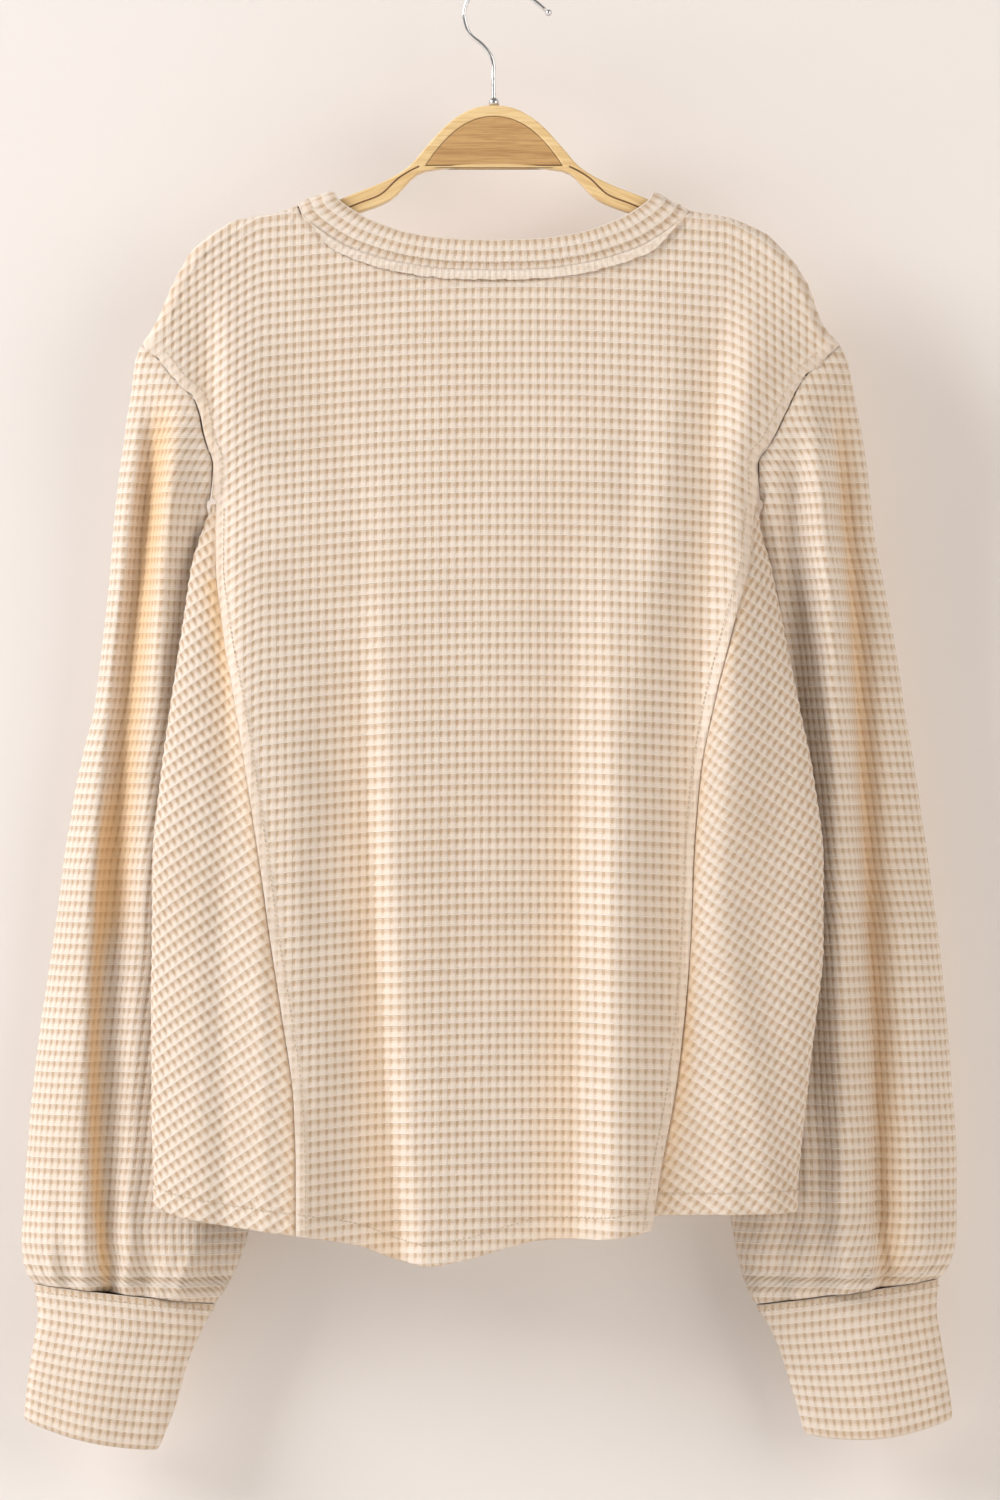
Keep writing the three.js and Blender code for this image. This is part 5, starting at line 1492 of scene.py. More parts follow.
@dataclass
class Placket:
    """Hidden front closing: a strip over the slit, one under it, and their buttons."""

    half: float = 14.0
    foot: float = -388.0
    stitch_in: float = 3.0
    heights: tuple[float, ...] = (-234.0, -282.0, -330.0)
    profile: tuple[tuple[float, float], ...] = (
        (0.0, 0.0), (4.9, 0.0), (5.7, 0.35), (6.0, 0.9), (6.0, 1.6), (5.75, 2.15), (5.2, 2.4),
        (4.7, 2.25), (4.3, 1.75), (3.8, 1.6), (0.0, 1.6),
    )

    def strip(self, side: int) -> Lattice:
        """Grid of one strip.

        Args:
            side: 1 for the strip over the slit, -1 for the one under it.

        Returns:
            Its grid.
        """
        top = FRONT_NECK[-1][3]
        lines, ribs = WAFFLE.across(-self.half, self.half)
        base, cords = WAFFLE.along(self.foot, top)
        lines, base = np.clip(lines, -self.half, self.half), np.clip(base, self.foot, top)
        x, z = np.broadcast_arrays(PLACKET_X + lines[None, :], base[:, None])
        point, normal = body_surface(x, z, Face.FRONT)
        point = point + normal * side * (DOUBLED_WALL / 2 + SEAM_GAP + CLOTH_WALL / 2)
        off = np.minimum(self.half - np.abs(x - PLACKET_X), np.minimum(top - z, z - self.foot))
        worn = WAFFLE.worn(WAFFLE.relief(cords, ribs), smoothstep(0.3, 2.5, off))
        lift = -0.5 * smoothstep(2.0, 0.0, off) - 0.35 * bell(off - self.stitch_in, 0.8)
        outer = WAFFLE.outer(CLOTH_WALL, worn, lift)
        return Lattice(point, normal * side, outer, CLOTH_WALL / 2, np.stack([x, z], -1), worn,
                       np.zeros_like(x))

    def button(self, name: str, z: float) -> Object:
        """Round button with a rim and a well, at a height."""
        point, normal = body_surface(np.array([PLACKET_X]), np.array([z]), Face.FRONT)
        axis = Vector(normal[0])
        lift = DOUBLED_WALL / 2 + 2 * SEAM_GAP + CLOTH_WALL
        return lathe(name, self.profile, Vector(point[0]) + axis * lift, axis)

    def build(self, seams: Seamwork) -> list[Object]:
        """Builds the two strips and gathers their stitches."""
        z = np.arange(-222.0, self.foot + 3, -1.5)
        lift = DOUBLED_WALL / 2 + SEAM_GAP + CLOTH_WALL + 0.1
        for sign in (-1, 1):
            x = np.full_like(z, PLACKET_X + sign * (self.half - self.stitch_in))
            point, normal = body_surface(x, z, Face.FRONT)
            seams.add("placket_over", point + normal * lift)
        return [cloth_object("placket_over_cloth", self.strip(1)),
                cloth_object("placket_under_cloth", self.strip(-1))]

    def build_buttons(self) -> list[Object]:
        """Builds the buttons."""
        return [self.button(f"button_{k + 1}_disc", z) for k, z in enumerate(self.heights)]


@dataclass
class Hanger:
    """Laminated wooden hanger: its bent frame, the inset plate and the wire hook."""

    thickness: float = 12.0
    depth: float = 12.4
    drop: float = 2.9
    tip_x: float = 184.5
    arm_start: float = 60.0
    arm_points: tuple[float, ...] = (142.0, 163.0, 173.0, 180.0)
    rail_low: float = -118.5
    plate_half: float = 44.0
    plate_low: float = -115.2
    plate_top: float = -83.5
    plate_thickness: float = 11.2
    plate_power: float = 2.15
    frame_bevel: float = 1.1
    plate_bevel: float = 0.25
    groove_shade_share: float = 0.56
    groove_shade_half: float = 0.55
    groove_shade_proud: float = 0.06
    groove_shade_inset: float = 0.3
    groove_shade_steps: int = 80
    groove_shade_start: tuple[tuple[float, float], ...] = ((48, -115.6), (54, -118.6), (61, -123.0))
    wire: float = 1.3
    wire_sides: int = 20
    crook: float = 19.2
    tip_radius: float = 2.3
    ferrule: tuple[tuple[float, float], ...] = (
        (3.4, 0.0), (3.4, 2.6), (3.2, 3.2), (2.7, 4.0), (2.2, 4.8), (2.0, 5.0),
    )
    crown: tuple[tuple[float, float], ...] = (
        (0, -76.5), (12, -78), (24, -84), (33, -91.5), (44.5, -104.3), (55, -116), (71, -125.5),
        (97, -136), (112, -143), (126, -147.8),
    )
    stem: tuple[tuple[float, float], ...] = (
        (0, -76.2), (-0.4, -60), (-1, -46.5), (-7, -37.5), (-15.5, -30),
    )
    end: tuple[tuple[float, float], ...] = ((18.5, -4.2), (27, -9.7), (33, -14.8))

    def top_line(self, sign: int) -> Array:
        """Top edge of one arm, from the crown to the tip."""
        x = np.array(self.arm_points) * sign
        arm = np.stack([x, SHOULDER(x) - self.drop * np.hypot(1, shoulder_slope(x))], 1)
        return np.concatenate([np.array(self.crown) * (sign, 1), arm])

    def arm(self, sign: int) -> tuple[Array, Array]:
        """Top and bottom edges of the bent arm.

        Args:
            sign: -1 for the left arm, 1 for the right.

        Returns:
            Points on the top edge and, square across from them, on the bottom edge.
        """
        top = self.top_line(sign)
        top = top[np.abs(top[:, 0]) > self.arm_start]
        padded = np.concatenate([top[:1], top, top[-1:]])
        ahead = unit(padded[2:] - padded[:-2])
        return top, top + np.stack([ahead[:, 1], -ahead[:, 0]], 1) * sign * self.depth

    def outline(self) -> list[tuple[float, float]]:
        """Whole outline of the frame."""
        halves = []
        for sign in (1, -1):
            whole, (_, bottom) = self.top_line(sign), self.arm(sign)
            tip = (sign * self.tip_x, (whole[-1, 1] + bottom[-1, 1]) / 2)
            rail = (sign * self.plate_half, self.rail_low)
            halves.append([*map(tuple, whole), tip, *map(tuple, bottom[::-1]), rail])
        return halves[0] + halves[1][::-1][:-1]

    def window(self, shrink: float) -> list[tuple[float, float]]:
        """Outline of the plate or of its hole."""
        off = -np.cos(math.pi * np.arange(41) / 40)
        low, high = self.plate_low + shrink, self.plate_top - shrink
        z = low + (high - low) * (1 - np.abs(off) ** self.plate_power)
        return list(zip(off * (self.plate_half - 2 * shrink), z))

    def slab(self, name: str, rings: Sequence[Sequence[tuple[float, float]]], thickness: float,
             bevel: float) -> Object:
        """Flat shape with rounded edges, standing in the XZ plane.

        Args:
            name: Name of the object.
            rings: Outlines in X and Z; those after the first are holes.
            thickness: Thickness along Y.
            bevel: Radius of the rounded edges.

        Returns:
            The object.
        """
        curve = bpy.data.curves.new(name + "_outline", "CURVE")
        curve.dimensions, curve.fill_mode = "2D", "BOTH"
        curve.extrude = (thickness / 2 - bevel) * MM
        curve.bevel_depth, curve.offset = bevel * MM, -bevel * MM
        curve.bevel_resolution = 3
        for ring in rings:
            spline = curve.splines.new("POLY")
            spline.points.add(len(ring) - 1)
            for point, (x, z) in zip(spline.points, ring):
                point.co = (x * MM, z * MM, 0.0, 1.0)
            spline.use_cyclic_u = True
        source = placed(name + "_outline", curve)
        depsgraph = bpy.context.evaluated_depsgraph_get()
        mesh = bpy.data.meshes.new_from_object(source.evaluated_get(depsgraph))
        mesh.transform(Matrix.Rotation(math.pi / 2, 4, "X"))
        bpy.data.objects.remove(source)
        mesh.name = name
        face_outwards(mesh, 0.00002)
        mesh.polygons.foreach_set("use_smooth", np.zeros(len(mesh.polygons), bool))
        return placed(name, mesh)

    def smooth_outline(self) -> list[tuple[float, float]]:
        """Outline with its straight stretches turned into smooth ones between the corners."""
        points = np.array(self.outline())
        made = []
        for a, b, c, d in zip(*(np.roll(points, 1 - k, axis=0) for k in range(4))):
            reach = np.linalg.norm(c - b)
            leaving = (c - a) * (reach / max(np.linalg.norm(b - a) + reach, 1e-6))
            arriving = (d - b) * (reach / max(np.linalg.norm(d - c) + reach, 1e-6))
            steps = max(1, int(reach // 5))
            made += [tuple(hermite(b, leaving, c, arriving, k / steps)) for k in range(steps)]
        return made

    def groove_shade_strips(self) -> Object:
        """Dark strip along both faces of each arm: painted shade of the groove that runs along it.
        """
        count, half = self.groove_shade_steps, self.groove_shade_half
        inset, proud = self.thickness / 2 - self.groove_shade_inset, self.thickness / 2 + self.groove_shade_proud
        share = np.linspace(0, 1, count)
        points, quads = [], []
        for sign in (-1, 1):
            top, bottom = self.arm(sign)
            spots = share * (len(top) - 1)
            index = np.arange(len(top))
            edges = [np.stack([np.interp(spots, index, c) for c in line.T], 1)
                     for line in (top, bottom)]
            middle = lerp(*edges, self.groove_shade_share)
            knots = np.concatenate([np.array(self.groove_shade_start) * (sign, 1), middle[2::6]])
            walked = np.append(0, np.cumsum(np.linalg.norm(np.diff(knots, axis=0), axis=1)))
            middle = np.stack([Curve(walked, c)(share * walked[-1]) for c in knots.T], 1)
            way = np.gradient(middle, axis=0)
            across = unit(np.stack([-way[:, 1], way[:, 0]], 1)) * half
            for face in (-1, 1):
                start = len(points) * count
                for y in (proud, inset):
                    for spot in (middle - across, middle + across):
                        points.append(np.insert(spot, 1, face * y, axis=1))
                ring = np.array([0, 1, 3, 2]) * count + start
                rows = np.arange(count - 1)[:, None]
                for a, b in zip(ring, np.roll(ring, -1)):
                    quads.append(rows + np.array([a, b, b + 1, a + 1]))
                quads += [ring[None, :], ring[None, ::-1] + count - 1]
        made = make_mesh("hanger_groove_shade_strip", np.concatenate(points), [np.concatenate(quads)])
        face_outwards(made.data)
        return made

    def hook_path(self) -> list[Vector]:
        """Dense points along the middle of the wire."""
        centre = self.wire - self.crook
        turns = [math.radians(degrees) for degrees in range(-90, 21, 22)]
        bend = [(self.crook * math.sin(t), centre + self.crook * math.cos(t)) for t in turns]
        points = [Vector((x, 0, z)) for x, z in (*self.stem, *bend, *self.end)]
        padded = [2 * points[0] - points[1], *points, 2 * points[-1] - points[-2]]
        made = []
        for p0, p1, p2, p3 in zip(padded, padded[1:], padded[2:], padded[3:]):
            d01, d12, d23 = ((b - a).length ** 0.5 for a, b in ((p0, p1), (p1, p2), (p2, p3)))
            m1 = ((p1 - p0) / d01 - (p2 - p0) / (d01 + d12) + (p2 - p1) / d12) * d12
            m2 = ((p2 - p1) / d12 - (p3 - p1) / (d12 + d23) + (p3 - p2) / d23) * d12
            made += [hermite(p1, m1, p2, m2, k / 8) for k in range(8)]
        return [*made, points[-1]]

    def wire_object(self, path: Sequence[Vector]) -> Object:
        """The hook's wire as a round tube along a path."""
        line = np.array(path)
        padded = np.concatenate([line[:1], line, line[-1:]])
        level = np.array([0.0, 1.0, 0.0])
        out = np.cross(level, unit(padded[2:] - padded[:-2]))
        turn = 2 * math.pi * np.arange(self.wire_sides)[:, None] / self.wire_sides
        rim = out[:, None, :] * np.cos(turn) + level * np.sin(turn)
        return skin("hook_wire_round", line[:, None, :] + rim * self.wire, line[[0, -1]])

    def build(self) -> dict[str, Object]:
        """Builds all pieces of the hanger.

        Returns:
            Each piece by the name of the CAD node that it stands for.
        """
        path = self.hook_path()
        way = (path[-1] - path[-2]).normalized()
        radius, inner, upright = self.tip_radius, self.wire + 0.3, Vector((0, 0, 1))
        turns = [math.pi * k / 16 for k in range(1, 16)]
        ball = [(radius * math.sin(t), -radius * math.cos(t)) for t in turns]
        ball = [(0.0, -radius), *ball, (0.0, radius)]
        ferrule = [(inner, 0.0), *self.ferrule, (inner, self.ferrule[-1][1])]
        frame_rings = [self.smooth_outline(), self.window(0.0)]
        return {
            "hanger_frame": self.slab("hanger_wood_frame", frame_rings, self.thickness,
                                      self.frame_bevel),
            "hanger_plate": self.slab("hanger_wood_plate", [self.window(SEAM_GAP)],
                                      self.plate_thickness, self.plate_bevel),
            "hook_wire": self.wire_object(path),
            "hook_ferrule": lathe("hook_ferrule_round", ferrule,
                                  upright * (self.crown[0][1] + SEAM_GAP), upright),
            "hook_tip": lathe("hook_tip_ball", ball, path[-1] + way * (radius + SEAM_GAP), way),
        }


class Graph:
    """Adds nodes to a tree and links them as they are made."""

    def __init__(self, tree: NodeTree) -> None:
        """Keeps the tree that the nodes go into."""
        self.tree = tree

    def add(self, kind: str, *inputs: object, **settings: object) -> Node:
        """Adds a node.

        Args:
            kind: Blender's name of the node type.
            inputs: For each input in order a socket to link, a value, or None to leave it.
            settings: Properties of the node.

        Returns:
            The node.
        """
        node = self.tree.nodes.new(kind)
        for key, value in settings.items():
            setattr(node, key, value)
        for socket, value in zip(node.inputs, inputs):
            self.put(socket, value)
        return node

    def put(self, socket: NodeSocket, value: object) -> None:
        """Links a socket to another one, or gives it a value."""
        if isinstance(value, NodeSocket):
            self.tree.links.new(value, socket)
        elif value is not None:
            socket.default_value = value

    def name(self, node: Node, **inputs: object) -> Node:
        """Sets inputs of a node by name, with _ for a space, and returns the node."""
        for key, value in inputs.items():
            self.put(node.inputs[key.replace("_", " ")], value)
        return node

    def math(self, operation: str, *values: object) -> NodeSocket:
        """Result of a math node."""
        return self.add("ShaderNodeMath", *values, operation=operation).outputs[0]

    def mix(self, share: object, a: object, b: object) -> NodeSocket:
        """Colour between two colours."""
        node = self.add("ShaderNodeMix", data_type="RGBA")
        for socket, value in zip((node.inputs[0], node.inputs[6], node.inputs[7]), (share, a, b)):
            self.put(socket, value)
        return node.outputs[2]

    def read(self, kind: str, **inputs: object) -> NodeSocket:
        """First output of a new node whose inputs are set by name."""
        return self.name(self.add(kind), **inputs).outputs[0]

    def noise(self, **inputs: object) -> NodeSocket:
        """Value of a noise texture on the object's own coordinates, unless a vector is given."""
        inputs.setdefault("Vector", self.add("ShaderNodeTexCoord").outputs["Object"])
        return self.read("ShaderNodeTexNoise", **inputs)

    def group(self, tree: NodeTree, **inputs: object) -> NodeOutputs:
        """Outputs of a node group whose inputs are set by name."""
        return self.name(self.add("ShaderNodeGroup", node_tree=tree), **inputs).outputs

    def attribute(self, name: str) -> NodeSocket:
        """Value of an attribute of the mesh."""
        return self.add("ShaderNodeAttribute", attribute_name=name).outputs["Fac"]

    def off_middle(self, value: object) -> NodeSocket:
        """Distance from the middle of each whole step of a value."""
        return self.math("ABSOLUTE", self.math("SUBTRACT", self.math("FRACT", value), 0.5))

    def band(self, value: object, low: float = 0.0, high: float = 1.0, to_low: float = 0.0,
             to_high: float = 1.0) -> NodeSocket:
        """Value read smoothly from one range into another, held at its ends."""
        node = self.add("ShaderNodeMapRange", value, low, high, to_low, to_high,
                        interpolation_type="SMOOTHSTEP")
        return node.outputs[0]


def node_group(name: str, kind: str, inputs: dict[str, str], outputs: dict[str, str],
               fill: Callable[[Graph, Node, Node], None],
               ) -> NodeTree:
    """Node group for materials or for a modifier.

    Args:
        name: Name of the group.
        kind: Shader or Geometry.
        inputs: Kind of each input by its name.
        outputs: Kind of each output by its name.
        fill: Called with the graph, the group's input node and its output node.

    Returns:
        The group.
    """
    tree = bpy.data.node_groups.new(name, f"{kind}NodeTree")
    for way, sockets in (("INPUT", inputs), ("OUTPUT", outputs)):
        for label, socket in sockets.items():
            tree.interface.new_socket(label, in_out=way, socket_type=f"NodeSocket{socket}")
    graph = Graph(tree)
    fill(graph, graph.add("NodeGroupInput"), graph.add("NodeGroupOutput"))
    return tree


def yarn_group() -> NodeTree:
    """Loops of yarn, with their fibres: a height and a slow change of tone."""
    def fill(graph: Graph, given: Node, made: Node) -> None:
        """Nodes of the group."""
        parts = graph.add("ShaderNodeSeparateXYZ", given.outputs["Cloth"])
        u, v = (graph.math("DIVIDE", parts.outputs[k], given.outputs["Pitch"]) for k in (0, 1))
        off = graph.off_middle(u)
        lean = graph.math("MULTIPLY_ADD", off, 1.3, graph.math("MULTIPLY", v, 0.72))
        yarn = graph.math("MULTIPLY", graph.band(graph.off_middle(lean), 0.5, 0.08),
                          graph.band(off, 0.5, 0.22))
        fibre = graph.noise(Scale=2600.0, Detail=3.0, Roughness=0.7)
        slow = graph.noise(Scale=14.0, Detail=3.0, Roughness=0.55)
        graph.name(made, Height=graph.math("MULTIPLY_ADD", fibre, 0.55, yarn),
                   Tone=graph.band(slow, 0.3, 0.7), Yarn=yarn)

    return node_group("yarn", "Shader", {"Cloth": "Vector", "Pitch": "Float"},
                      {"Height": "Float", "Tone": "Float", "Yarn": "Float"}, fill)


def cells_group() -> NodeTree:
    """Cells of the waffle knit: their height between the ribs and cords, and the shade painted into
    their hollows and under each cord.
    """
    def fill(graph: Graph, given: Node, made: Node) -> None:
        """Nodes of the group."""
        parts = graph.add("ShaderNodeSeparateXYZ", given.outputs["Cloth"])
        side = graph.off_middle(
            graph.math("MULTIPLY_ADD", parts.outputs[0], 1 / (WAFFLE.width * MM), 0.5))
        level = graph.math("FRACT", graph.math("MULTIPLY", parts.outputs[1],
                                               -1 / (WAFFLE.height * MM)))
        rib = graph.band(side, 0.37, 0.24)
        edge = graph.math("MINIMUM", level, graph.math("SUBTRACT", 1.0, level))
        cord = graph.band(edge, 0.11, 0.04)
        below = graph.band(level, 0.28, 0.72, 1.0, 0.0)
        rib_height = graph.math("MULTIPLY_ADD", below, -0.3, WAFFLE.rib_high)
        # Painted shade: the hollows between the ribs, and a band just under each cord as if lit
        # from above
        hollow_shade = graph.math("MULTIPLY", graph.math("SUBTRACT", 1.0, rib),
                            graph.math("MULTIPLY_ADD", below, 0.95, 0.2))
        dark = graph.math("MAXIMUM", hollow_shade, graph.math("MULTIPLY", below, 0.42))
        height = graph.math("MAXIMUM", cord, graph.math("MULTIPLY", rib, rib_height))
        clear = graph.math("SUBTRACT", 1.0, cord)
        graph.name(made, Height=height, Hollow=graph.math("MULTIPLY", dark, clear))

    return node_group("waffle_cells", "Shader", {"Cloth": "Vector"},
                      {"Height": "Float", "Hollow": "Float"}, fill)


def grain_group() -> NodeTree:
    """Wood grain that follows the bent arms: a mask of its lines and a slow change of tone."""
    def fill(graph: Graph, given: Node, made: Node) -> None:
        """Nodes of the group."""
        place = graph.add("ShaderNodeTexCoord").outputs["Object"]
        x, y, z = graph.add("ShaderNodeSeparateXYZ", place).outputs
        out = graph.math("SUBTRACT", graph.math("ABSOLUTE", x), 0.05)
        level = graph.math("MULTIPLY_ADD", graph.math("MAXIMUM", out, 0.0),
                           given.outputs["Slope"], z)
        bent = graph.add("ShaderNodeCombineXYZ", graph.math("MULTIPLY", x, 0.045),
                         graph.math("MULTIPLY", y, 0.5), level).outputs[0]
        lines = graph.noise(Vector=bent, Scale=given.outputs["Scale"], Detail=5.0,
                            Roughness=0.62, Distortion=0.25)
        slow = graph.noise(Vector=bent, Scale=120.0, Detail=2.0)
        graph.name(made, Lines=graph.band(lines, 0.38, 0.66), Tone=graph.band(slow, 0.35, 0.65))

    return node_group("bent_grain", "Shader", {"Scale": "Float", "Slope": "Float"},
                      {"Lines": "Float", "Tone": "Float"}, fill)


def darker(color: Sequence[float], share: float) -> tuple[float, ...]:
    """The colour with its light cut down to a share."""
    return tuple(share * part for part in color[:3]) + (1.0,)


@dataclass(frozen=True)
class KnitFinish:
    """Cream cotton waffle knit; colours are linear. High is its lit colour, low the painted shade
    of its hollows, and the warm pair the painted warm light and shade of its troughs.
    """

    high: tuple[float, ...] = (0.890, 0.800, 0.710, 1.0)
    low: tuple[float, ...] = (0.600, 0.435, 0.290, 1.0)
    painted_warm_high: tuple[float, ...] = (0.930, 0.640, 0.330, 1.0)
    painted_warm_low: tuple[float, ...] = (0.740, 0.440, 0.190, 1.0)
    pitch: float = 0.00104
    roughness: float = 0.92
    sheen: float = 0.25
    cell_bump: float = 0.0005
    yarn_bump: float = 0.00022

    def make(self, name: str, yarn: NodeTree, cells: NodeTree, ) -> Material:
        """Material of the cloth, with shade painted into its hollows and recesses and warm light
        and shade painted into its troughs.

        Args:
            name: Name of the material.
            yarn: Group of the yarn's loops.
            cells: Group of the waffle's cells.

        Returns:
            The material.
        """
        material, graph, shader = new_material(name)
        uv = graph.add("ShaderNodeUVMap", uv_map="cloth").outputs[0]
        threads = graph.group(yarn, Cloth=uv, Pitch=self.pitch)
        waffle = graph.group(cells, Cloth=uv)
        kept = graph.math("MULTIPLY_ADD", graph.attribute("press"), -0.6, 1.0)
        kept = graph.math("MULTIPLY", kept, 0.75)
        # Painted shade in the knit's recesses, darker where its relief is lower
        cavity_shade = graph.band(graph.attribute("relief"), 0.1, 0.9, 0.3, 0.0)
        hollow_shade = graph.math("MULTIPLY_ADD", waffle["Hollow"], kept, cavity_shade)
        # Painted shade between the yarns
        gap_shade = graph.band(threads["Yarn"], 0.0, 0.8, 0.22, 0.0)
        tone = graph.math("MULTIPLY_ADD", threads["Tone"], 0.1, gap_shade)
        # Painted shade of the cells, recesses and spaces between yarns, with a little random tone
        depth = graph.math("ADD", hollow_shade, tone)
        # Lit colour mixed towards the painted shade colour
        knit = graph.mix(depth, self.high, self.low)
        # Painted warm light and shade for the troughs
        glow = graph.mix(depth, self.painted_warm_high, self.painted_warm_low)
        share = graph.band(graph.attribute("painted_warm_shade"), to_high=0.9)
        coarse = graph.read("ShaderNodeBump", Strength=kept, Distance=self.cell_bump,
                            Height=waffle["Height"])
        fine = graph.read("ShaderNodeBump", Strength=0.8, Distance=self.yarn_bump,
                          Height=threads["Height"], Normal=coarse)
        graph.name(shader, Base_Color=graph.mix(share, knit, glow), Normal=fine,
                   Roughness=self.roughness, Sheen_Weight=self.sheen, Sheen_Roughness=0.6,
                   Specular_IOR_Level=0.2)
        return material


@dataclass(frozen=True)
class ThreadFinish:
    """Sewing thread."""

    color: tuple[float, ...] = (0.700, 0.560, 0.405, 1.0)

    def make(self, name: str, yarn: NodeTree) -> Material:
        """Material of the stitches."""
        material, graph, shader = new_material(name)
        place = graph.add("ShaderNodeTexCoord").outputs["Object"]
        twist = graph.group(yarn, Cloth=place, Pitch=0.0004)
        bump = graph.read("ShaderNodeBump", Strength=0.5, Distance=0.0001, Height=twist["Height"])
        # Painted shade between the yarns of the twist
        color = graph.mix(twist["Yarn"], darker(self.color, 0.8), self.color)
        graph.name(shader, Base_Color=color, Normal=bump, Roughness=0.65, Sheen_Weight=0.15)
        return material


@dataclass(frozen=True)
class WoodFinish:
    """Lacquered wood; colours are linear."""

    light: tuple[float, ...]
    dark: tuple[float, ...]
    scale: float = 900.0
    slope: float = 0.42
    roughness: tuple[float, float] = (0.34, 0.5)
    coat: float = 0.35

    def make(self, name: str, grain: NodeTree) -> Material:
        """Material of the wood."""
        material, graph, shader = new_material(name)
        wood = graph.group(grain, Scale=self.scale, Slope=self.slope)
        lines = wood["Lines"]
        share = graph.math("MULTIPLY_ADD", wood["Tone"], 0.3, graph.math("MULTIPLY", lines, 0.6))
        bump = graph.read("ShaderNodeBump", Strength=0.35, Distance=0.0002, Height=lines)
        graph.name(shader, Base_Color=graph.mix(share, self.light, self.dark), Normal=bump,
                   Roughness=graph.band(lines, 0.0, 1.0, *self.roughness),
                   Coat_Weight=self.coat, Coat_Roughness=0.18)
        return material


@dataclass(frozen=True)
class MetalFinish:
    """Bright plated wire."""

    color: tuple[float, ...] = (0.72, 0.73, 0.75, 1.0)

    def make(self, name: str) -> Material:
        """Material of the hook."""
        material, graph, shader = new_material(name)
        worn = graph.band(graph.noise(Scale=420.0, Detail=4.0, Roughness=0.7), 0.45, 0.75)
        graph.name(shader, Base_Color=graph.mix(worn, self.color, darker(self.color, 0.72)),
                   Roughness=graph.band(worn, 0.0, 1.0, 0.12, 0.32), Metallic=1.0)
        return material


@dataclass(frozen=True)
class ButtonFinish:
    """Polished cream plastic with a faint cloudy swirl."""

    light: tuple[float, ...] = (0.78, 0.68, 0.50, 1.0)
    dark: tuple[float, ...] = (0.62, 0.50, 0.33, 1.0)

    def make(self, name: str) -> Material:
        """Material of the buttons."""
        material, graph, shader = new_material(name)
        share = graph.band(graph.noise(Scale=180.0, Detail=4.0, Distortion=1.6), 0.35, 0.7)
        graph.name(shader, Base_Color=graph.mix(share, self.light, self.dark),
                   Roughness=graph.band(share, 0.0, 1.0, 0.22, 0.34),
                   Coat_Weight=0.3, Coat_Roughness=0.1)
        return material


def new_material(name: str) -> tuple[Material, Graph, Node]:
    """New material with its graph and its Principled shader."""
    material = bpy.data.materials.new(name)
    material.use_nodes = True
    graph = Graph(material.node_tree)
    return material, graph, material.node_tree.nodes["Principled BSDF"]


@dataclass(frozen=True)
class StitchRows:
    """Rows of stitches along paths, laid by Geometry Nodes."""

    pitch: float = 0.0032
    length: float = 0.0023
    radius: float = 0.00038
    seed: int = 7

    def tree(self) -> NodeTree:
        """Node tree that lays one stitch at each step along the edges of a mesh."""
        def fill(graph: Graph, given: Node, made: Node) -> None:
            """Nodes of the group."""
            paths, pitch, length, radius, seed, material = list(given.outputs)[:6]
            curves = graph.add("GeometryNodeMeshToCurve", paths)
            steps = graph.add("GeometryNodeResampleCurve", mode="LENGTH")
            graph.name(steps, Curve=curves.outputs[0], Length=pitch)
            turn = graph.add("FunctionNodeAlignRotationToVector", axis="X")
            graph.name(turn, Vector=graph.add("GeometryNodeInputTangent").outputs[0])
            draw = graph.add("FunctionNodeRandomValue", data_type="FLOAT")
            for socket, value in ((2, 0.88), (3, 1.12), ("Seed", seed)):
                graph.put(draw.inputs[socket], value)
            long = graph.math("MULTIPLY", graph.math("MULTIPLY", length, 0.5), draw.outputs[1])
            size = graph.add("ShaderNodeCombineXYZ", long, radius, radius)
            ball = graph.add("GeometryNodeMeshUVSphere", 6, 5, 1.0)
            laid = graph.read("GeometryNodeInstanceOnPoints", Points=steps.outputs[0],
                              Instance=ball.outputs[0], Rotation=turn.outputs[0],
                              Scale=size.outputs[0])
            real = graph.add("GeometryNodeRealizeInstances", laid).outputs[0]
            smooth = graph.read("GeometryNodeSetShadeSmooth", Geometry=real, Shade_Smooth=True)
            thread = graph.read("GeometryNodeSetMaterial", Geometry=smooth, Material=material)
            graph.put(made.inputs[0], thread)

        inputs = {"Paths": "Geometry", "Pitch": "Float", "Length": "Float", "Radius": "Float",
                  "Seed": "Int", "Thread": "Material"}
        return node_group("stitch_rows", "Geometry", inputs, {"Stitches": "Geometry"}, fill)

    def lay(self, name: str, paths: Sequence[Array], tree: NodeTree, thread: Material) -> Object:
        """Lays the stitches along paths and turns them into a plain mesh.

        Args:
            name: Name of the object.
            paths: Points of each path in millimetres.
            tree: The node tree.
            thread: Material of the stitches.

        Returns:
            The object.
        """
        edges, start = [], 0
        for path in paths:
            edges += [(start + k, start + k + 1) for k in range(len(path) - 1)]
            start += len(path)
        mesh = bpy.data.meshes.new(name + "_paths")
        mesh.from_pydata([tuple(p) for p in np.concatenate(paths) * MM], edges, [])
        made = placed(name, mesh)
        modifier = made.modifiers.new("stitches", "NODES")
        modifier.node_group = tree
        values = {"Pitch": self.pitch, "Length": self.length, "Radius": self.radius,
                  "Seed": self.seed, "Thread": thread}
        for item in tree.interface.items_tree:
            if item.name in values:
                modifier[item.identifier] = values[item.name]
        depsgraph = bpy.context.evaluated_depsgraph_get()
        made.data = bpy.data.meshes.new_from_object(made.evaluated_get(depsgraph))
        made.modifiers.clear()
        bpy.data.meshes.remove(mesh)
        LOG.info("%s: %d faces", name, len(made.data.polygons))
        return made


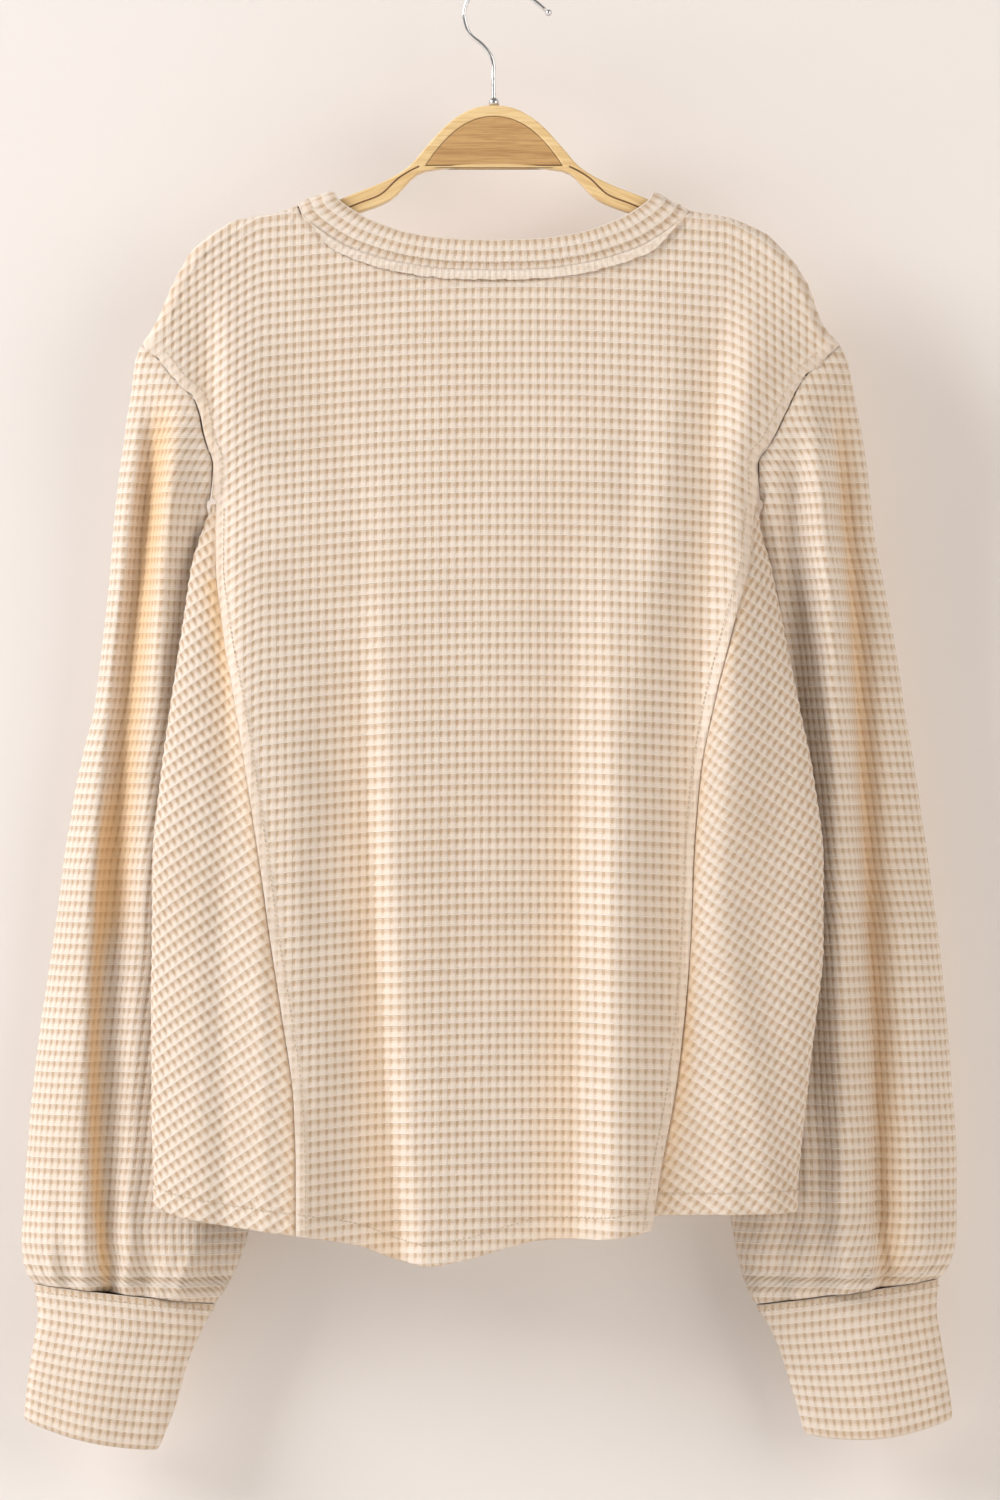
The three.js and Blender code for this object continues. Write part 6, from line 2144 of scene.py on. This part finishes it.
# Name, place, size, power and colour of each light
LIGHTS = (
    ("key", (-3.3, -1.55, 1.3), 2.1, 162.0, (1.0, 0.99, 0.995)),
    ("fill", (2.4, -2.4, 0.3), 2.6, 50.0, (1.0, 0.93, 0.86)),
    ("back", (0.6, 1.9, 0.3), 1.4, 30.0, (1.0, 0.98, 0.96)),
)


@dataclass
class Stage:
    """Plain floor and wall, soft light and the camera."""

    wall_y: float = 0.0725
    floor_z: float = -1.35
    camera: tuple[float, float, float] = (0.00384, -4.01, -0.4896)
    lens: float = 150.0
    reach: float = 4.0
    wall_top: float = 2.5
    room_light: float = 0.27
    middle: tuple[float, float, float] = (0.0, 0.0, -0.45)

    def plane(self, name: str, corners: Sequence[tuple[float, float, float]],
              color: tuple[float, ...], hidden_behind: bool) -> Object:
        """One plane of the room, see-through from behind if asked."""
        mesh = bpy.data.meshes.new(name)
        mesh.from_pydata(corners, [], [(0, 1, 2, 3)])
        made = placed(name, mesh)
        material, graph, shader = new_material(name)
        graph.name(shader, Base_Color=color, Roughness=0.85)
        if hidden_behind:
            back = graph.add("ShaderNodeNewGeometry").outputs["Backfacing"]
            shadow = graph.add("ShaderNodeLightPath").outputs["Is Shadow Ray"]
            clear = graph.add("ShaderNodeBsdfTransparent")
            mixed = graph.add("ShaderNodeMixShader", graph.math("MAXIMUM", back, shadow),
                              shader.outputs[0], clear.outputs[0])
            graph.put(material.node_tree.nodes["Material Output"].inputs[0], mixed.outputs[0])
        made.data.materials.append(material)
        return made

    def light(self, name: str, place: tuple[float, float, float], size: float, power: float,
              color: tuple[float, float, float]) -> None:
        """Square area light that looks at the middle of the part."""
        lamp = bpy.data.lights.new(name, "AREA")
        lamp.size, lamp.energy, lamp.color = size, power, color
        made = placed(name, lamp)
        made.location = place
        way = Vector(self.middle) - Vector(place)
        made.rotation_euler = way.to_track_quat("-Z", "Y").to_euler()

    def build(self) -> None:
        """Builds the room, the lights and the camera."""
        far, y, z = self.reach, self.wall_y, self.floor_z
        wall = [(-far, y, z), (far, y, z), (far, y, self.wall_top), (-far, y, self.wall_top)]
        floor = [(-far, -far, z), (far, -far, z), (far, far, z), (-far, far, z)]
        self.plane("backdrop", wall, (0.79, 0.755, 0.735, 1.0), True)
        self.plane("floor", floor, (0.80, 0.78, 0.75, 1.0), False)
        for row in LIGHTS:
            self.light(*row)
        scene = bpy.context.scene
        scene.world = bpy.data.worlds.new("room")
        scene.world.use_nodes = True
        ground = scene.world.node_tree.nodes["Background"]
        ground.inputs[0].default_value = (1.0, 0.94, 0.88, 1.0)
        ground.inputs[1].default_value = self.room_light
        scene.view_settings.view_transform = "Standard"
        lens = bpy.data.cameras.new("camera")
        lens.lens, lens.sensor_fit, lens.sensor_height = self.lens, "VERTICAL", 36.0
        scene.camera = placed("camera", lens)
        scene.camera.location = self.camera
        scene.camera.rotation_euler = (math.pi / 2, 0.0, 0.0)


@dataclass
class Shirt:
    """The whole dressed part."""

    seams: Seamwork = field(default_factory=Seamwork)
    cloth: dict[str, Object] = field(default_factory=dict)
    stitches: dict[str, Object] = field(default_factory=dict)
    buttons: list[Object] = field(default_factory=list)
    hanger: dict[str, Object] = field(default_factory=dict)
    groove_shade: Object | None = None

    def build(self) -> None:
        """Builds every piece."""
        seams = self.seams
        self.cloth["back_panel"] = MiddlePanel(Face.BACK).build(seams)
        self.cloth["front_panel"] = MiddlePanel(Face.FRONT).build(seams)
        for side in Side:
            sleeve = Sleeve(side, SLEEVES[side], CLOTH_WALL)
            cuff = Cuff(side, CUFFS[side], DOUBLED_WALL)
            self.cloth[f"side_panel_{side.value}"] = SidePanel(side).build(seams)
            self.cloth[f"sleeve_{side.value}"] = sleeve.build()
            self.cloth[f"cuff_{side.value}"] = cuff.build(seams)
        self.cloth["neck_band"], self.cloth["neck_raw_strip"] = NeckBand().build(seams)
        placket = Placket()
        self.cloth["placket_over"], self.cloth["placket_under"] = placket.build(seams)
        self.buttons = placket.build_buttons()
        hanger = Hanger()
        self.hanger, self.groove_shade = hanger.build(), hanger.groove_shade_strips()

    def dress(self) -> None:
        """Gives every piece its material and lays the stitches."""
        yarn, grain = yarn_group(), grain_group()
        knit = KnitFinish().make("waffle_knit", yarn, cells_group())
        thread = ThreadFinish().make("thread", yarn)
        wood = WoodFinish((0.84, 0.63, 0.33, 1.0), (0.64, 0.41, 0.17, 1.0)).make("wood", grain)
        plate = WoodFinish((0.60, 0.37, 0.155, 1.0), (0.37, 0.19, 0.065, 1.0), slope=0.0)
        # Dark finish for the painted shade of the groove along the arms
        groove_shade = WoodFinish((0.24, 0.115, 0.04, 1.0), (0.13, 0.055, 0.02, 1.0))
        metal, cream = MetalFinish().make("plated_wire"), ButtonFinish().make("button_cream")
        finishes = {"hanger_frame": wood, "hanger_plate": plate.make("plate_wood", grain)}
        dressed = [(piece, knit) for piece in self.cloth.values()]
        dressed += [(piece, cream) for piece in self.buttons]
        dressed += [(piece, finishes.get(node, metal)) for node, piece in self.hanger.items()]
        for piece, finish in (*dressed, (self.groove_shade, groove_shade.make("painted_groove_shade", grain))):
            piece.data.materials.append(finish)
        rows = StitchRows()
        tree = rows.tree()
        for group, paths in self.seams.paths.items():
            self.stitches[group] = rows.lay(f"stitches_{group}", paths, tree, thread)

    def declare(self) -> None:
        """Hangs every piece on the root and hides the CAD part that it stands for."""
        slots = {"hanger_frame": Slot.WOOD, "hanger_plate": Slot.PLATE}
        rows = [(piece, Slot.KNIT, node) for node, piece in self.cloth.items()]
        rows += [(piece, Slot.KNIT, None) for piece in self.stitches.values()]
        rows += [(piece, Slot.BUTTON, f"button_{k + 1}") for k, piece in enumerate(self.buttons)]
        rows += [(piece, slots.get(node, Slot.METAL), node) for node, piece in self.hanger.items()]
        for piece, slot, node in (*rows, (self.groove_shade, Slot.WOOD, None)):
            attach(piece, "root")
            if node:
                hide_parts(node)


def main() -> None:
    """Builds the scene."""
    logging.basicConfig(level=logging.INFO, format="%(name)s: %(message)s")
    Stage().build()
    shirt = Shirt()
    shirt.build()
    shirt.dress()
    shirt.declare()


if __name__ == "__main__":
    main()
